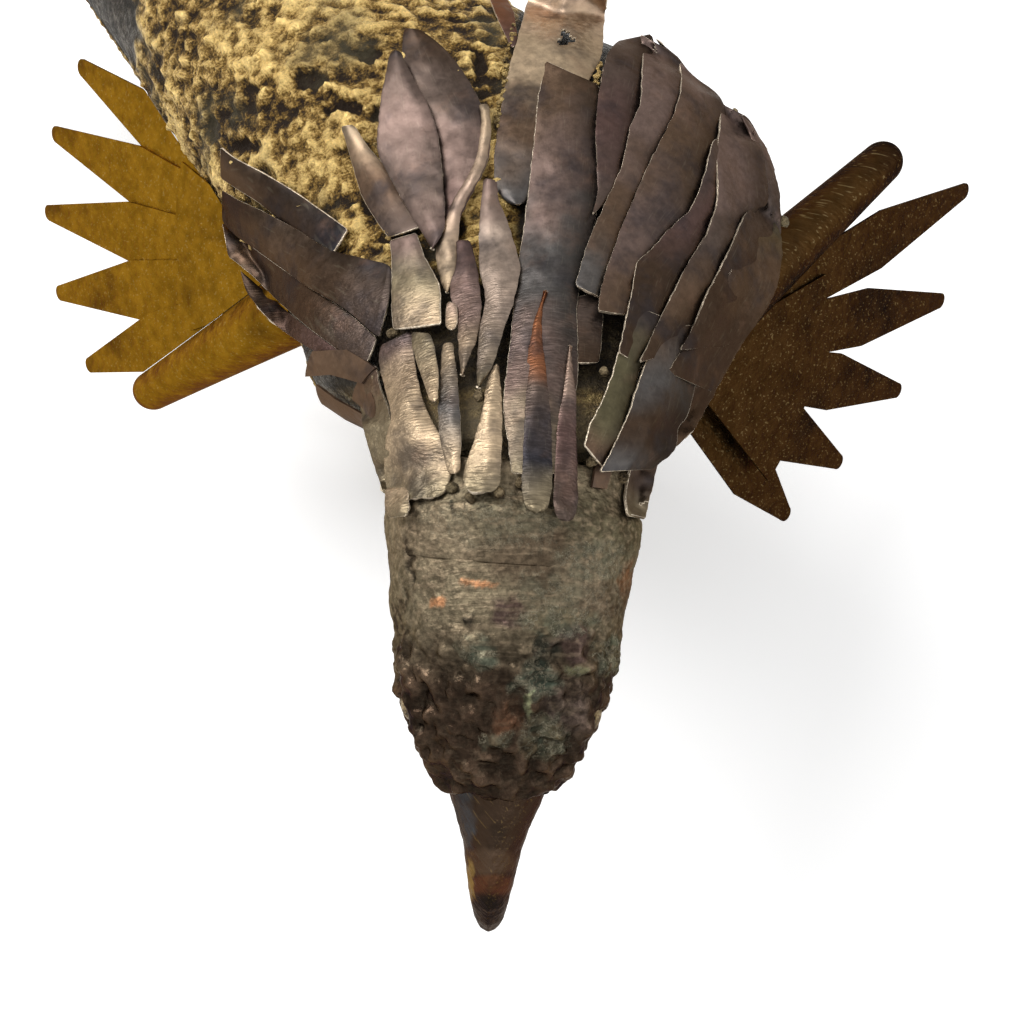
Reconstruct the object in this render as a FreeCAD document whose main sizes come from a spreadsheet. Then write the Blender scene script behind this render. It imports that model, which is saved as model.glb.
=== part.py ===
import FreeCAD, Part
import Sketcher
import math
import os

# Eagle sculpture of torch-cut copper strips over a brazed bronze body, standing on two feet.
# Millimetres and degrees. Tail towards +Y, head towards -Y and turned to its right, +Z up.

doc = FreeCAD.newDocument("EagleSculpture")
sheet = doc.addObject("Spreadsheet::Sheet", "Sizes")
Vector = FreeCAD.Vector

# Driving dimensions, in millimetres
SIZES = {
    # Running fit between pieces that seat on each other
    "seat_gap": 0.3,
    # Overrun of every cutting tool
    "overrun": 4.0,
    # Sheet and shell gauges
    "core_wall": 3.0,
    "head_wall": 3.5,
    "strip_gauge": 0.9,
    "strip_lift": 0.6,
    "strip_half_width": 10.0,
    "strip_span": 14.0,
    "strip_hole_radius": 2.1,
    # Armature bars
    "bar_radius": 4.5,
    "hub_radius": 15.0,
    "hub_x": 0.0,
    "hub_y": 6.0,
    "hub_z": 222.0,
    "hub_stub": 6.0,
    "spine_length": 190.0,
    "neck_bar_length": 172.0,
    "former_gauge": 3.0,
    "front_former_reach": 80.0,
    "rear_former_reach": 176.0,
    "head_former_reach": 24.0,
    "hip_block_length": 96.0,
    "hip_block_depth": 18.0,
    "hip_block_height": 24.0,
    # Legs and feet
    "hip_half_spread": 34.0,
    "leg_x": -14.0,
    "leg_y": 52.0,
    "leg_rod_radius": 4.5,
    "leg_rod_top": 216.0,
    "thigh_top_radius": 27.0,
    "thigh_middle_radius": 23.0,
    "knee_radius": 12.0,
    "knee_z": 78.0,
    "thigh_middle_z": 128.0,
    "thigh_top_z": 190.0,
    "tarsus_top_radius": 10.0,
    "tarsus_foot_radius": 8.0,
    "foot_radius": 13.0,
    "foot_height": 17.0,
    "foot_socket_depth": 9.0,
    "toe_length": 44.0,
    "hind_toe_length": 28.0,
    "toe_root_radius": 7.0,
    "toe_end_radius": 5.0,
    "toe_axis_z": 4.6,
    "talon_length": 17.0,
    "talon_radius": 3.4,
    "talon_tip_radius": 0.6,
    "talon_rise": 3.0,
    # Head, measured from the neck opening along the head's own axis
    "beak_seat": 86.0,
    "beak_end": 144.0,
    "eye_radius": 7.5,
    "eye_reach": 60.0,
    "eye_side": 23.5,
    "eye_height": 8.0,
    "brow_length": 19.0,
    "brow_thickness": 4.6,
    "brow_side": 25.0,
    "brow_reach": 57.0,
    "brow_height": 16.5,
    # Wings
    "blade_gauge": 1.2,
    "blade_root_half_width": 9.0,
    "blade_belly_half_width": 14.0,
    "blade_tip_half_width": 4.0,
    "wing_arm_root_radius": 17.0,
    "wing_arm_middle_radius": 13.0,
    "wing_arm_wrist_radius": 9.5,
    "wing_arm_length": 150.0,
    "left_wing_x": 90.0,
    "left_wing_y": -22.0,
    "left_wing_z": 213.0,
    "left_fan_inset": 62.0,
    "left_fan_drop": 8.0,
    "right_wing_x": -90.0,
    "right_wing_y": 14.0,
    "right_wing_z": 205.0,
    "right_fan_inset": 25.0,
    "right_fan_drop": 5.0,
    "cover_reach": 98.0,
    # Tail
    "tail_fan_x": -122.5,
    "tail_fan_y": 257.0,
    "tail_fan_z": 201.0,
    "tail_length": 190.0,
    "tail_gauge": 1.5,
    "tail_root_half_width": 8.0,
    "tail_belly_half_width": 19.0,
    "tail_tip_half_width": 11.0,
}

# Stations of the neck and body, nose to tail: centre place and half sizes of each oval section
STATIONS = ["nape", "collar", "throat", "neck", "breast", "shoulder",
            "back", "flank", "loin", "rump", "tail_seat"]
CORE_CENTRES = [(-50.0, -123.0, 277.5), (-45.0, -109.3, 275.5), (-37.5, -95.0, 268.0),
                (-26.5, -78.5, 255.0), (-16.5, -59.5, 241.0), (-7.5, -32.5, 228.5),
                (-1.0, 22.0, 222.0), (-36.0, 80.0, 218.0), (-66.0, 145.0, 214.0),
                (-98.0, 210.0, 209.0), (-128.0, 268.0, 202.0)]
CORE_HALF_WIDTHS = [37.0, 40.0, 49.0, 58.0, 76.0, 93.0, 98.0, 76.0, 62.0, 46.0, 30.0]
CORE_HALF_HEIGHTS = [31.0, 34.0, 38.0, 44.0, 52.0, 60.0, 62.0, 60.0, 54.0, 40.0, 24.0]
CORE_YAW_ANGLES = [-24.0, -22.0, -19.0, -15.0, -9.0, -4.0, 6.0, 20.0, 24.0, 26.0, 26.0]
CORE_PITCH_ANGLES = [20.0, 12.0, 4.0, -4.0, -9.0, -8.0, -4.0, -2.0, 0.0, -5.0, -8.0]

# Head sections: distance forward of the neck opening, height of centre, half width, half height
HEAD_REACHES = [0.3, 18.0, 38.0, 58.0, 70.0, 79.0, 86.0]
HEAD_HEIGHTS = [-0.5, -0.5, 0.5, 0.5, 0.0, -0.5, 0.5]
HEAD_HALF_WIDTHS = [39.5, 39.3, 36.5, 32.5, 28.5, 24.0, 19.5]
HEAD_HALF_HEIGHTS = [32.5, 34.5, 33.5, 29.5, 26.0, 22.5, 18.5]

# Upper beak sections: distance forward, height of the cutting edge, half width, height of ridge
BEAK_REACHES = [86.3, 96.0, 106.0, 116.0, 126.0, 134.0, 140.0, 144.0]
BEAK_EDGE_HEIGHTS = [-6.5, -7.0, -8.0, -10.0, -14.0, -20.0, -27.0, -33.0]
BEAK_HALF_WIDTHS = [17.0, 13.2, 9.8, 8.0, 6.6, 5.2, 3.8, 2.2]
BEAK_RIDGE_HEIGHTS = [19.0, 18.5, 18.0, 17.0, 15.0, 12.0, 9.0, 5.0]

# Lower beak sections: distance forward, half width, depth below the upper beak's cutting edge
MANDIBLE_REACHES = [86.3, 100.0, 114.0, 123.0]
MANDIBLE_HALF_WIDTHS = [13.0, 9.5, 6.5, 3.5]
MANDIBLE_DEPTHS = [11.0, 9.0, 7.0, 3.5]

# Angles of the feathers in each wing, from the arm, and their lengths from the fan's centre
LEFT_FAN_ANGLES = [78.0, 63.0, 48.0, 34.0, 19.0]
LEFT_BLADE_LENGTHS = [140.0, 158.0, 186.0, 205.0, 214.0]
LEFT_ARM_ANGLE = 6.0
RIGHT_FAN_ANGLES = [50.0, 39.0, 28.0, 17.0, 6.0]
RIGHT_BLADE_LENGTHS = [190.0, 205.0, 212.0, 210.0, 196.0]
RIGHT_ARM_ANGLE = -2.0
TAIL_FAN_ANGLES = [-22.0, -11.0, 0.0, 11.0, 22.0]
TAIL_DROP_ANGLE = -24.0
SPINE_YAW_ANGLE = 26.0
TOE_ANGLES = [-34.0, 0.0, 32.0, 180.0]

# Copper strips on the neck. Each row is station, angle round the section from the top, and
# half width as a share of strip_half_width; the pair before the rows is the layer at the
# upper end and at the lower end.
STRIP_SHARES = {
    "strip_leaf": (2, 1, [(6.65, -2, 0.08), (6.45, -11, 0.55), (6.2, -18, 1.0),
                          (5.9, -23, 1.1), (5.45, -24, 0.8), (4.9, -22.5, 0.12)]),
    "strip_leaf_back": (0, 0, [(6.75, 4, 0.1), (6.2, -6, 0.7), (5.8, -11, 0.9),
                               (5.3, -14, 0.45), (4.85, -18.5, 0.25), (4.2, -22.5, 0.15)]),
    "strip_curl": (0, 0, [(6.4, -31, 0.6), (5.95, -34, 0.5), (5.55, -32, 0.45),
                          (5.25, -29, 0.5)]),
    "strip_flank_upper": (0, 0, [(6.6, -55, 0.6), (6.2, -55, 0.75), (5.5, -46, 0.6)]),
    "strip_flank_middle": (1, 1, [(6.35, -68, 0.5), (6.1, -68, 0.75), (5.55, -58, 0.75),
                                  (4.95, -46, 0.75), (4.4, -42, 0.75)]),
    "strip_flank_lower": (0, 0, [(6.1, -81, 0.45), (5.7, -80, 0.6), (5.0, -65, 0.8),
                                 (4.4, -57, 0.75), (3.85, -54, 0.6)]),
    "strip_collar_square": (0, 0, [(5.1, -29, 0.6), (4.5, -31, 0.75), (3.75, -36, 0.85)]),
    "strip_collar_fork": (1, 0, [(3.85, -42, 0.35), (3.1, -45, 0.6), (2.4, -47, 0.9),
                                 (1.5, -46, 1.0), (0.3, -48, 1.0)]),
    "strip_blade": (0, 0, [(5.35, -9.5, 0.2), (5.0, -9, 0.35), (4.2, -10.5, 0.5),
                           (3.1, -14.5, 0.35), (2.1, -16.5, 0.1)]),
    "strip_nape_pale": (0, 0, [(2.4, -10.5, 0.12), (1.6, -11, 0.35), (0.9, -12.5, 0.5),
                               (0.35, -14, 0.6)]),
    "strip_spine_long": (1, 0, [(6.1, 18, 0.75), (5.7, 10.5, 1.05), (5.25, 7, 1.1),
                                (4.4, 3.2, 1.05), (3.2, 0, 0.7), (1.9, -0.5, 0.42),
                                (0.6, -1, 0.2)]),
    "strip_holed": (0, 0, [(6.65, 42, 1.3), (6.35, 31, 1.4), (6.0, 12, 1.35),
                           (5.75, 2, 0.75)]),
    "strip_shoulder_first": (0, 0, [(6.3, 52, 0.6), (6.0, 35, 0.85), (5.55, 22, 0.6),
                                    (5.1, 17.5, 0.35), (4.6, 13.5, 0.2)]),
    "strip_shoulder_second": (1, 1, [(5.55, 30, 0.75), (5.1, 23.5, 0.75), (4.7, 18.5, 0.55),
                                     (3.75, 13.5, 0.35), (2.6, 19.5, 0.4)]),
    "strip_shoulder_third": (1, 1, [(4.6, 32.5, 0.8), (4.15, 30, 0.7), (3.6, 30, 0.6),
                                    (2.8, 33, 0.6), (1.75, 34, 0.5), (0.9, 33, 0.35)]),
    "strip_shoulder_fourth": (0, 0, [(5.95, 52, 0.9), (5.55, 41, 1.2), (5.1, 35, 1.0),
                                     (4.6, 27, 0.7), (4.0, 20.5, 0.4), (3.3, 22, 0.3)]),
    "strip_shoulder_fifth": (1, 1, [(5.8, 64, 1.0), (5.25, 57, 1.3), (4.7, 47.5, 1.1),
                                    (4.0, 46, 0.8), (3.0, 48, 0.7), (1.8, 53, 0.6),
                                    (0.7, 55, 0.5)]),
    "strip_shoulder_sixth": (0, 0, [(5.6, 88, 0.8), (4.8, 75, 1.3), (3.9, 70, 1.3),
                                    (2.9, 70, 1.3), (1.9, 70, 0.95), (0.8, 74, 0.7)]),
}
STRIP_GROUP_SHARES = {
    "strips_collar_narrow": [
        (1.9, 1.6, [(3.55, -34, 0.4), (2.8, -37.5, 0.4), (2.1, -34, 0.22)]),
        (1, 1, [(3.05, -27, 0.28), (2.0, -26.5, 0.3), (0.7, -27, 0.2)]),
        (1, 1, [(4.3, -18.5, 0.42), (3.25, -21, 0.28), (2.4, -21, 0.15)]),
        (0, 0, [(1.9, -27, 0.25), (1.1, -26.5, 0.2), (0.35, -26, 0.15)]),
    ],
    "strips_nape_round": [
        (1.7, 0.9, [(3.5, 1.5, 0.1), (2.7, 5, 0.2), (1.9, 7.5, 0.3), (0.7, 10, 0.4),
                    (0.1, 10.5, 0.3)]),
        (0, 0, [(2.7, 11.5, 0.1), (1.9, 18, 0.25), (0.7, 24.5, 0.33), (0.1, 25.5, 0.25)]),
    ],
    "strips_right_neck": [
        (0, 0, [(3.3, 101, 0.8), (2.3, 102, 0.8), (1.2, 102, 0.6), (0.4, 101, 0.45)]),
        (0, 0, [(3.0, 122, 0.8), (2.2, 125, 0.8), (1.2, 127, 0.6), (0.4, 126, 0.45)]),
        (0, 0, [(2.2, 34, 0.3), (1.3, 42, 0.35), (0.5, 42, 0.3)]),
    ],
    "strips_left_neck": [
        (0, 0, [(3.4, -76, 0.6), (2.6, -78, 0.7), (1.5, -83, 0.55), (0.4, -86, 0.45)]),
        (0, 0, [(4.4, -90, 0.6), (3.4, -100, 0.8), (2.4, -102, 0.8), (1.2, -106, 0.6),
                (0.4, -108, 0.45)]),
        (0, 0, [(3.0, -124, 0.8), (2.2, -128, 0.8), (1.2, -130, 0.6), (0.4, -130, 0.45)]),
        (1, 1, [(4.6, -75, 0.7), (4.0, -66, 0.7), (3.2, -63, 0.5)]),
    ],
    "strips_throat": [
        (0, 0, [(4.3, 150, 1.0), (3.4, 152, 1.0), (2.3, 154, 0.8), (0.5, 156, 0.5)]),
        (0, 0, [(4.3, 180, 1.0), (3.4, 180, 1.0), (2.3, 180, 0.8), (0.5, 180, 0.5)]),
        (0, 0, [(4.3, 210, 1.0), (3.4, 208, 1.0), (2.3, 206, 0.8), (0.5, 204, 0.5)]),
    ],
}
HOLE_PLACE_SHARES = (6.4, 33.5)
SEATING_ROUNDS = 3

# Outlines, as shares of the sizes they follow
BEAK_SHOULDER_WIDTH_SHARE = 0.8
BEAK_SHOULDER_HEIGHT_SHARE = 0.55
BLADE_BELLY_SHARE = 0.66
BROW_SPREAD_SHARE = 0.22
BROW_RISE_SHARE = 0.12

LISTED_SIZES = {
    "head_reach": HEAD_REACHES,
    "head_height": HEAD_HEIGHTS,
    "head_half_width": HEAD_HALF_WIDTHS,
    "head_half_height": HEAD_HALF_HEIGHTS,
    "beak_reach": BEAK_REACHES,
    "beak_edge_height": BEAK_EDGE_HEIGHTS,
    "beak_half_width": BEAK_HALF_WIDTHS,
    "beak_ridge_height": BEAK_RIDGE_HEIGHTS,
    "mandible_reach": MANDIBLE_REACHES,
    "mandible_half_width": MANDIBLE_HALF_WIDTHS,
    "mandible_depth": MANDIBLE_DEPTHS,
    "left_blade_length": LEFT_BLADE_LENGTHS,
    "right_blade_length": RIGHT_BLADE_LENGTHS,
}


def fill_sheet():
    """Write every driving dimension into the sheet, one named cell each."""
    row = 1
    for name, value in SIZES.items():
        row = put(row, name, value)
    for index, station in enumerate(STATIONS):
        for letter, value in zip("xyz", CORE_CENTRES[index]):
            row = put(row, f"{station}_{letter}", value)
        row = put(row, f"{station}_half_width", CORE_HALF_WIDTHS[index])
        row = put(row, f"{station}_half_height", CORE_HALF_HEIGHTS[index])
    for name, values in LISTED_SIZES.items():
        for index, value in enumerate(values):
            row = put(row, f"{name}_{index + 1}", value)
    doc.recompute()


def put(row, name, value):
    sheet.set(f"A{row}", name)
    sheet.set(f"B{row}", str(value))
    sheet.setAlias(f"B{row}", name)
    return row + 1


def size(name):
    return float(sheet.get(name))


def cell(expression):
    """Prefix every plain alias of an expression with the sheet's name."""
    words = []
    for word in expression.split(" "):
        words.append(f"Sizes.{word}" if word[0].isalpha() else word)
    return " ".join(words)


def bind(obj, **expressions):
    for prop, expression in expressions.items():
        obj.setExpression(prop, cell(expression))
    return obj


def rotation(x_axis, y_axis):
    z_axis = x_axis.cross(y_axis)
    matrix = FreeCAD.Matrix(x_axis.x, y_axis.x, z_axis.x, 0,
                            x_axis.y, y_axis.y, z_axis.y, 0,
                            x_axis.z, y_axis.z, z_axis.z, 0,
                            0, 0, 0, 1)
    return FreeCAD.Placement(matrix).Rotation


def unit(vector):
    return Vector(vector).normalize()


def combine(tool_kind, label, base, tool):
    result = doc.addObject(tool_kind, label)
    result.Base = base
    result.Tool = tool
    return result


def cut(label, base, *tools):
    result = base
    for index, tool in enumerate(tools):
        name = label if index == len(tools) - 1 else f"{label}_cut_{index}"
        result = combine("Part::Cut", name, result, tool)
    return result


def group(label, members):
    """Several like pieces under one name."""
    compound = doc.addObject("Part::Compound", label)
    compound.Links = members
    return compound


def loft(label, sections, ruled=False):
    result = doc.addObject("Part::Loft", label)
    result.Sections = sections
    result.Solid = True
    result.Ruled = ruled
    return result


def bar(label, start, direction, length, radius):
    """A round bar from a start point along a direction."""
    rod = doc.addObject("Part::Cylinder", label)
    bind(rod, Height=length, Radius=radius)
    rod.Placement = FreeCAD.Placement(start, FreeCAD.Rotation(Vector(0, 0, 1), direction))
    return rod


# Section frames of the core: side, forward spine and upward directions at any station

def section_axes(yaw, pitch):
    yaw, pitch = math.radians(yaw), math.radians(pitch)
    side = Vector(math.cos(yaw), math.sin(yaw), 0)
    along = Vector(-math.sin(yaw) * math.cos(pitch), math.cos(yaw) * math.cos(pitch),
                   math.sin(pitch))
    return side, along, side.cross(along)


def core_row(index):
    station = STATIONS[index]
    place = [size(f"{station}_{letter}") for letter in "xyz"]
    halves = [size(f"{station}_half_width"), size(f"{station}_half_height")]
    return place + halves + [CORE_YAW_ANGLES[index], CORE_PITCH_ANGLES[index]]


def core_at(place):
    """Section values at a fractional station, on a smooth curve through the stations."""
    rows = [core_row(index) for index in range(len(STATIONS))]
    last = len(rows) - 1
    index = min(max(int(math.floor(place)), 0), last - 1)
    t = place - index
    before = rows[index - 1] if index > 0 else [2 * a - b for a, b in zip(rows[0], rows[1])]
    after = rows[index + 2] if index + 2 <= last else [
        2 * a - b for a, b in zip(rows[last], rows[last - 1])]
    values = []
    for p, q, r, s in zip(before, rows[index], rows[index + 1], after):
        values.append(0.5 * (2 * q + (r - p) * t + (2 * p - 5 * q + 4 * r - s) * t * t
                             + (3 * q - p - 3 * r + s) * t * t * t))
    return values


def core_point(place, angle):
    """A point of the core's skin at a station, at an angle round the section from the top."""
    x, y, z, half_width, half_height, yaw, pitch = core_at(place)
    side, along, up = section_axes(yaw, pitch)
    turn = math.radians(angle)
    return (Vector(x, y, z) + side * half_width * math.sin(turn)
            + up * half_height * math.cos(turn))


def oval(label, centre, side, up, half_width, half_height):
    """A closed oval of four arcs that start on its side, so that lofts keep in step."""
    if half_width >= half_height:
        ellipse = Part.Ellipse(centre + side * half_width, centre + up * half_height, centre)
        starts = [0, 1, 2, 3]
    else:
        ellipse = Part.Ellipse(centre + up * half_height, centre - side * half_width, centre)
        starts = [3, 4, 5, 6]
    quarter = math.pi / 2
    arcs = [Part.ArcOfEllipse(ellipse, quarter * k, quarter * (k + 1)).toShape()
            for k in starts]
    section = doc.addObject("Part::Feature", label)
    section.Shape = Part.Wire(arcs)
    return section


def core_solid(label, growth, closed_by=0.0):
    """A loft through the stations' ovals, and through midway ones behind the shoulder."""
    shoulder, last = STATIONS.index("shoulder"), len(STATIONS) - 1
    places = list(range(shoulder)) + [shoulder + step / 2
                                      for step in range((last - shoulder) * 2 + 1)]
    sections = []
    for number, place in enumerate(places):
        x, y, z, half_width, half_height, yaw, pitch = core_at(place)
        side, along, up = section_axes(yaw, pitch)
        centre = Vector(x, y, z)
        if place == last:
            centre = centre - along * closed_by
        sections.append(oval(f"{label}_{number}", centre, side, up, half_width + growth,
                             half_height + growth))
    solid = loft(label, sections)
    solid.MaxDegree = 3
    return solid


# Head pieces, in the frame of the neck opening

def head_frame():
    x, y, z = core_row(0)[:3]
    side, along, up = section_axes(CORE_YAW_ANGLES[0], CORE_PITCH_ANGLES[0])
    return Vector(x, y, z), side, along * -1, up


def head_place(reach, sideways, height):
    origin, side, forward, up = head_frame()
    return origin + forward * reach + side * sideways + up * height


def head_solid(label, growth, first_reach, last_reach):
    """A loft through the head's ovals between two reaches, all grown alike."""
    origin, side, forward, up = head_frame()
    sections = []
    for index in range(1, len(HEAD_REACHES) + 1):
        reach = min(max(size(f"head_reach_{index}"), first_reach), last_reach)
        centre = head_place(reach, 0, size(f"head_height_{index}"))
        sections.append(oval(f"{label}_{index}", centre, side, up,
                             size(f"head_half_width_{index}") + growth,
                             size(f"head_half_height_{index}") + growth))
    return loft(label, sections)


def head_section(label, reach, half_width, base_height, crown_height):
    """A pointed arch over a flat base: the beak's section."""
    base_left = head_place(reach, -half_width, base_height)
    base_right = head_place(reach, half_width, base_height)
    ridge = head_place(reach, 0, base_height + crown_height)
    shoulder = half_width * BEAK_SHOULDER_WIDTH_SHARE
    shoulder_height = base_height + crown_height * BEAK_SHOULDER_HEIGHT_SHARE
    right_shoulder = head_place(reach, shoulder, shoulder_height)
    left_shoulder = head_place(reach, -shoulder, shoulder_height)
    wire = Part.Wire([
        Part.LineSegment(base_left, base_right).toShape(),
        Part.Arc(base_right, right_shoulder, ridge).toShape(),
        Part.Arc(ridge, left_shoulder, base_left).toShape()])
    section = doc.addObject("Part::Feature", label)
    section.Shape = wire
    return section


def make_head():
    gap = size("seat_gap")
    wall = size("head_wall")
    origin, side, forward, up = head_frame()
    outer = head_solid("head_outer", 0, 0, size("beak_seat"))
    inner = head_solid("head_inner", -wall, -size("overrun"), size("beak_seat") - wall)
    fused = outer
    for hand, name in ((-1, "right"), (1, "left")):
        brow = doc.addObject("Part::Ellipsoid", f"brow_{name}")
        bind(brow, Radius1="brow_thickness", Radius2="brow_length", Radius3="brow_thickness")
        spread = unit(forward * -1 + side * hand * 0.22 + up * 0.12)
        place = head_place(size("brow_reach"), hand * size("brow_side"), size("brow_height"))
        brow.Placement = FreeCAD.Placement(place, FreeCAD.Rotation(Vector(1, 0, 0), spread))
        fused = combine("Part::Fuse", f"head_with_brow_{name}", fused, brow)
    sockets = []
    for hand, name in ((-1, "right"), (1, "left")):
        eye = doc.addObject("Part::Sphere", f"eye_{name}")
        bind(eye, Radius="eye_radius")
        socket = doc.addObject("Part::Sphere", f"eye_socket_{name}")
        bind(socket, Radius="eye_radius + seat_gap")
        place = head_place(size("eye_reach"), hand * size("eye_side"), size("eye_height"))
        eye.Placement = FreeCAD.Placement(place, FreeCAD.Rotation())
        socket.Placement = eye.Placement
        sockets.append(socket)
        subparts[f"eye_{name}"] = eye
    subparts["head_shell"] = cut("head_shell", fused, inner, *sockets)

    upper = []
    for index in range(1, len(BEAK_REACHES) + 1):
        upper.append(head_section(f"beak_section_{index}", size(f"beak_reach_{index}"),
                                  size(f"beak_half_width_{index}"),
                                  size(f"beak_edge_height_{index}"),
                                  size(f"beak_ridge_height_{index}")))
    subparts["upper_beak"] = loft("upper_beak", upper, ruled=True)
    lower = []
    for index in range(1, len(MANDIBLE_REACHES) + 1):
        reach = size(f"mandible_reach_{index}")
        lower.append(mandible_section(f"mandible_section_{index}", reach,
                                      size(f"mandible_half_width_{index}"),
                                      beak_edge_height(reach) - gap,
                                      size(f"mandible_depth_{index}")))
    subparts["lower_beak"] = loft("lower_beak", lower, ruled=True)


def beak_edge_height(reach):
    """Height of the upper beak's cutting edge at a distance forward."""
    for index in range(1, len(BEAK_REACHES)):
        near, far = size(f"beak_reach_{index}"), size(f"beak_reach_{index + 1}")
        if reach <= far:
            share = (reach - near) / (far - near)
            return (size(f"beak_edge_height_{index}") * (1 - share)
                    + size(f"beak_edge_height_{index + 1}") * share)
    return size(f"beak_edge_height_{len(BEAK_REACHES)}")


def mandible_section(label, reach, half_width, edge, depth):
    left = head_place(reach, -half_width, edge)
    right = head_place(reach, half_width, edge)
    keel = head_place(reach, 0, edge - depth)
    section = doc.addObject("Part::Feature", label)
    section.Shape = Part.Wire([Part.LineSegment(left, right).toShape(),
                               Part.Arc(right, keel, left).toShape()])
    return section


# Copper strips laid on the core's skin

def strip_rows(rows, top_layer, bottom_layer):
    """Rows of a strip at short steps, each with its own lift."""
    steps = []
    gauge_step = size("strip_gauge") + size("seat_gap")
    for index in range(len(rows) - 1):
        first, second = rows[index], rows[index + 1]
        length = core_point(first[0], first[1]).distanceToPoint(
            core_point(second[0], second[1]))
        count = max(1, int(math.ceil(length / size("strip_span"))))
        for step in range(count):
            steps.append((index + step / count))
    steps.append(len(rows) - 1)
    result = []
    for place in steps:
        index = min(int(place), len(rows) - 2)
        share = place - index
        row = [a * (1 - share) + b * share for a, b in zip(rows[index], rows[index + 1])]
        layer = top_layer + (bottom_layer - top_layer) * place / (len(rows) - 1)
        result.append((row[0], row[1], row[2] * size("strip_half_width"),
                       size("strip_lift") + layer * gauge_step))
    return result


def nearest_on(skin, point):
    """The nearest point of the skin's faces and the outward direction there."""
    best = None
    for surface in skin:
        u, v = surface.parameter(point)
        place = surface.value(u, v)
        if best is None or place.distanceToPoint(point) < best[0]:
            best = (place.distanceToPoint(point), place, surface.normal(u, v))
    return best[1:]


def seated_point(skin, place, angle, lift):
    """A point over the skin, straight out from the section's centre at an angle."""
    values = core_at(place)
    point = core_point(place, angle)
    way = unit(point - Vector(*values[:3]))
    for _ in range(SEATING_ROUNDS):
        on_skin, outward = nearest_on(skin, point)
        steepness = way.dot(outward)
        point = point + way * ((on_skin - point).dot(outward) / steepness)
    return point + way * (lift / abs(steepness))


def strip_solid(skin, top_layer, bottom_layer, rows):
    gauge = size("strip_gauge")
    wires = []
    for place, angle, half_width, lift in strip_rows(rows, top_layer, bottom_layer):
        values = core_at(place)
        turn = math.radians(angle)
        per_radian = math.hypot(values[3] * math.cos(turn), values[4] * math.sin(turn))
        spread = math.degrees(half_width / per_radian)
        low = [seated_point(skin, place, angle + share * spread, lift) for share in (-1, 0, 1)]
        high = [seated_point(skin, place, angle + share * spread, lift + gauge)
                for share in (1, 0, -1)]
        wires.append(Part.Wire([Part.Arc(*low).toShape(),
                                Part.LineSegment(low[2], high[0]).toShape(),
                                Part.Arc(*high).toShape(),
                                Part.LineSegment(high[2], low[0]).toShape()]))
    return Part.makeLoft(wires, True, True)


def make_strips(skin):
    for label, (top_layer, bottom_layer, rows) in STRIP_SHARES.items():
        solid = strip_solid(skin, top_layer, bottom_layer, rows)
        if label == "strip_holed":
            outside = seated_point(skin, *HOLE_PLACE_SHARES, size("overrun"))
            inside = seated_point(skin, *HOLE_PLACE_SHARES, -size("overrun"))
            drill = Part.makeCylinder(size("strip_hole_radius"), 2 * size("overrun"), inside,
                                      outside - inside)
            solid = solid.cut(drill)
        strip = doc.addObject("Part::Feature", label)
        strip.Shape = solid
        subparts[label] = strip
    for label, strips in STRIP_GROUP_SHARES.items():
        group = doc.addObject("Part::Feature", label)
        group.Shape = Part.makeCompound([strip_solid(skin, *strip) for strip in strips])
        subparts[label] = group


# Feathers of the wings and tail: flat blades from one sketch

def blade(label, length, names, gauge, placement):
    """A flat feather: narrow root, wider belly and a rounded tip, all bound to the sheet."""
    root, belly, tip = names
    body = doc.addObject("PartDesign::Body", label)
    sketch = body.newObject("Sketcher::SketchObject", f"{label}_outline")
    plane = [f for f in body.Origin.OriginFeatures if f.Role == "XY_Plane"][0]
    sketch.AttachmentSupport = [(plane, "")]
    sketch.MapMode = "FlatFace"
    belly_reach = f"{length} * {BLADE_BELLY_SHARE}"
    tip_reach = f"{length} - {tip}"
    corners = [("0 mm", f"-1 * {root}"), (belly_reach, f"-1 * {belly}"),
               (tip_reach, f"-1 * {tip}"), (tip_reach, tip), (belly_reach, belly),
               ("0 mm", root)]
    places = [Vector(value(x), value(y), 0) for x, y in corners]
    end = Vector(size(length), 0, 0)
    sketch.addGeometry([
        Part.LineSegment(places[0], places[1]),
        Part.LineSegment(places[1], places[2]),
        Part.Arc(places[2], end, places[3]),
        Part.LineSegment(places[3], places[4]),
        Part.LineSegment(places[4], places[5]),
        Part.LineSegment(places[5], places[0])], False)
    rules = []
    for edge in range(6):
        if edge == 2:
            continue
        if edge == 1:
            rules.append(Sketcher.Constraint("Coincident", 1, 2, 2, 1))
            rules.append(Sketcher.Constraint("Coincident", 2, 2, 3, 1))
        else:
            rules.append(Sketcher.Constraint("Coincident", edge, 2, (edge + 1) % 6, 1))
    sketch.addConstraint(rules)
    for edge, (x, y) in enumerate(corners):
        first = edge
        for kind, rule in (("DistanceX", x), ("DistanceY", y)):
            number = sketch.addConstraint(Sketcher.Constraint(kind, -1, 1, first, 1,
                                                              value(rule)))
            if rule != "0 mm":
                sketch.setExpression(f"Constraints[{number}]", cell(rule))
    number = sketch.addConstraint(Sketcher.Constraint("DistanceX", -1, 1, 2, 3,
                                                      value(tip_reach)))
    sketch.setExpression(f"Constraints[{number}]", cell(tip_reach))
    pad = body.newObject("PartDesign::Pad", f"{label}_sheet")
    pad.Profile = sketch
    bind(pad, Length=gauge)
    body.Placement = placement
    return body


def value(rule):
    """The number that a rule of the sheet's names gives."""
    if " - " in rule:
        whole, part = rule.split(" - ")
        return value(whole) - value(part)
    result = 1.0
    for word in rule.replace(" mm", "").split(" * "):
        result *= size(word) if word[0].isalpha() else float(word)
    return result


# Wings: a fan of blades from a point inside the flank, an arm along its edge and a cover

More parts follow.
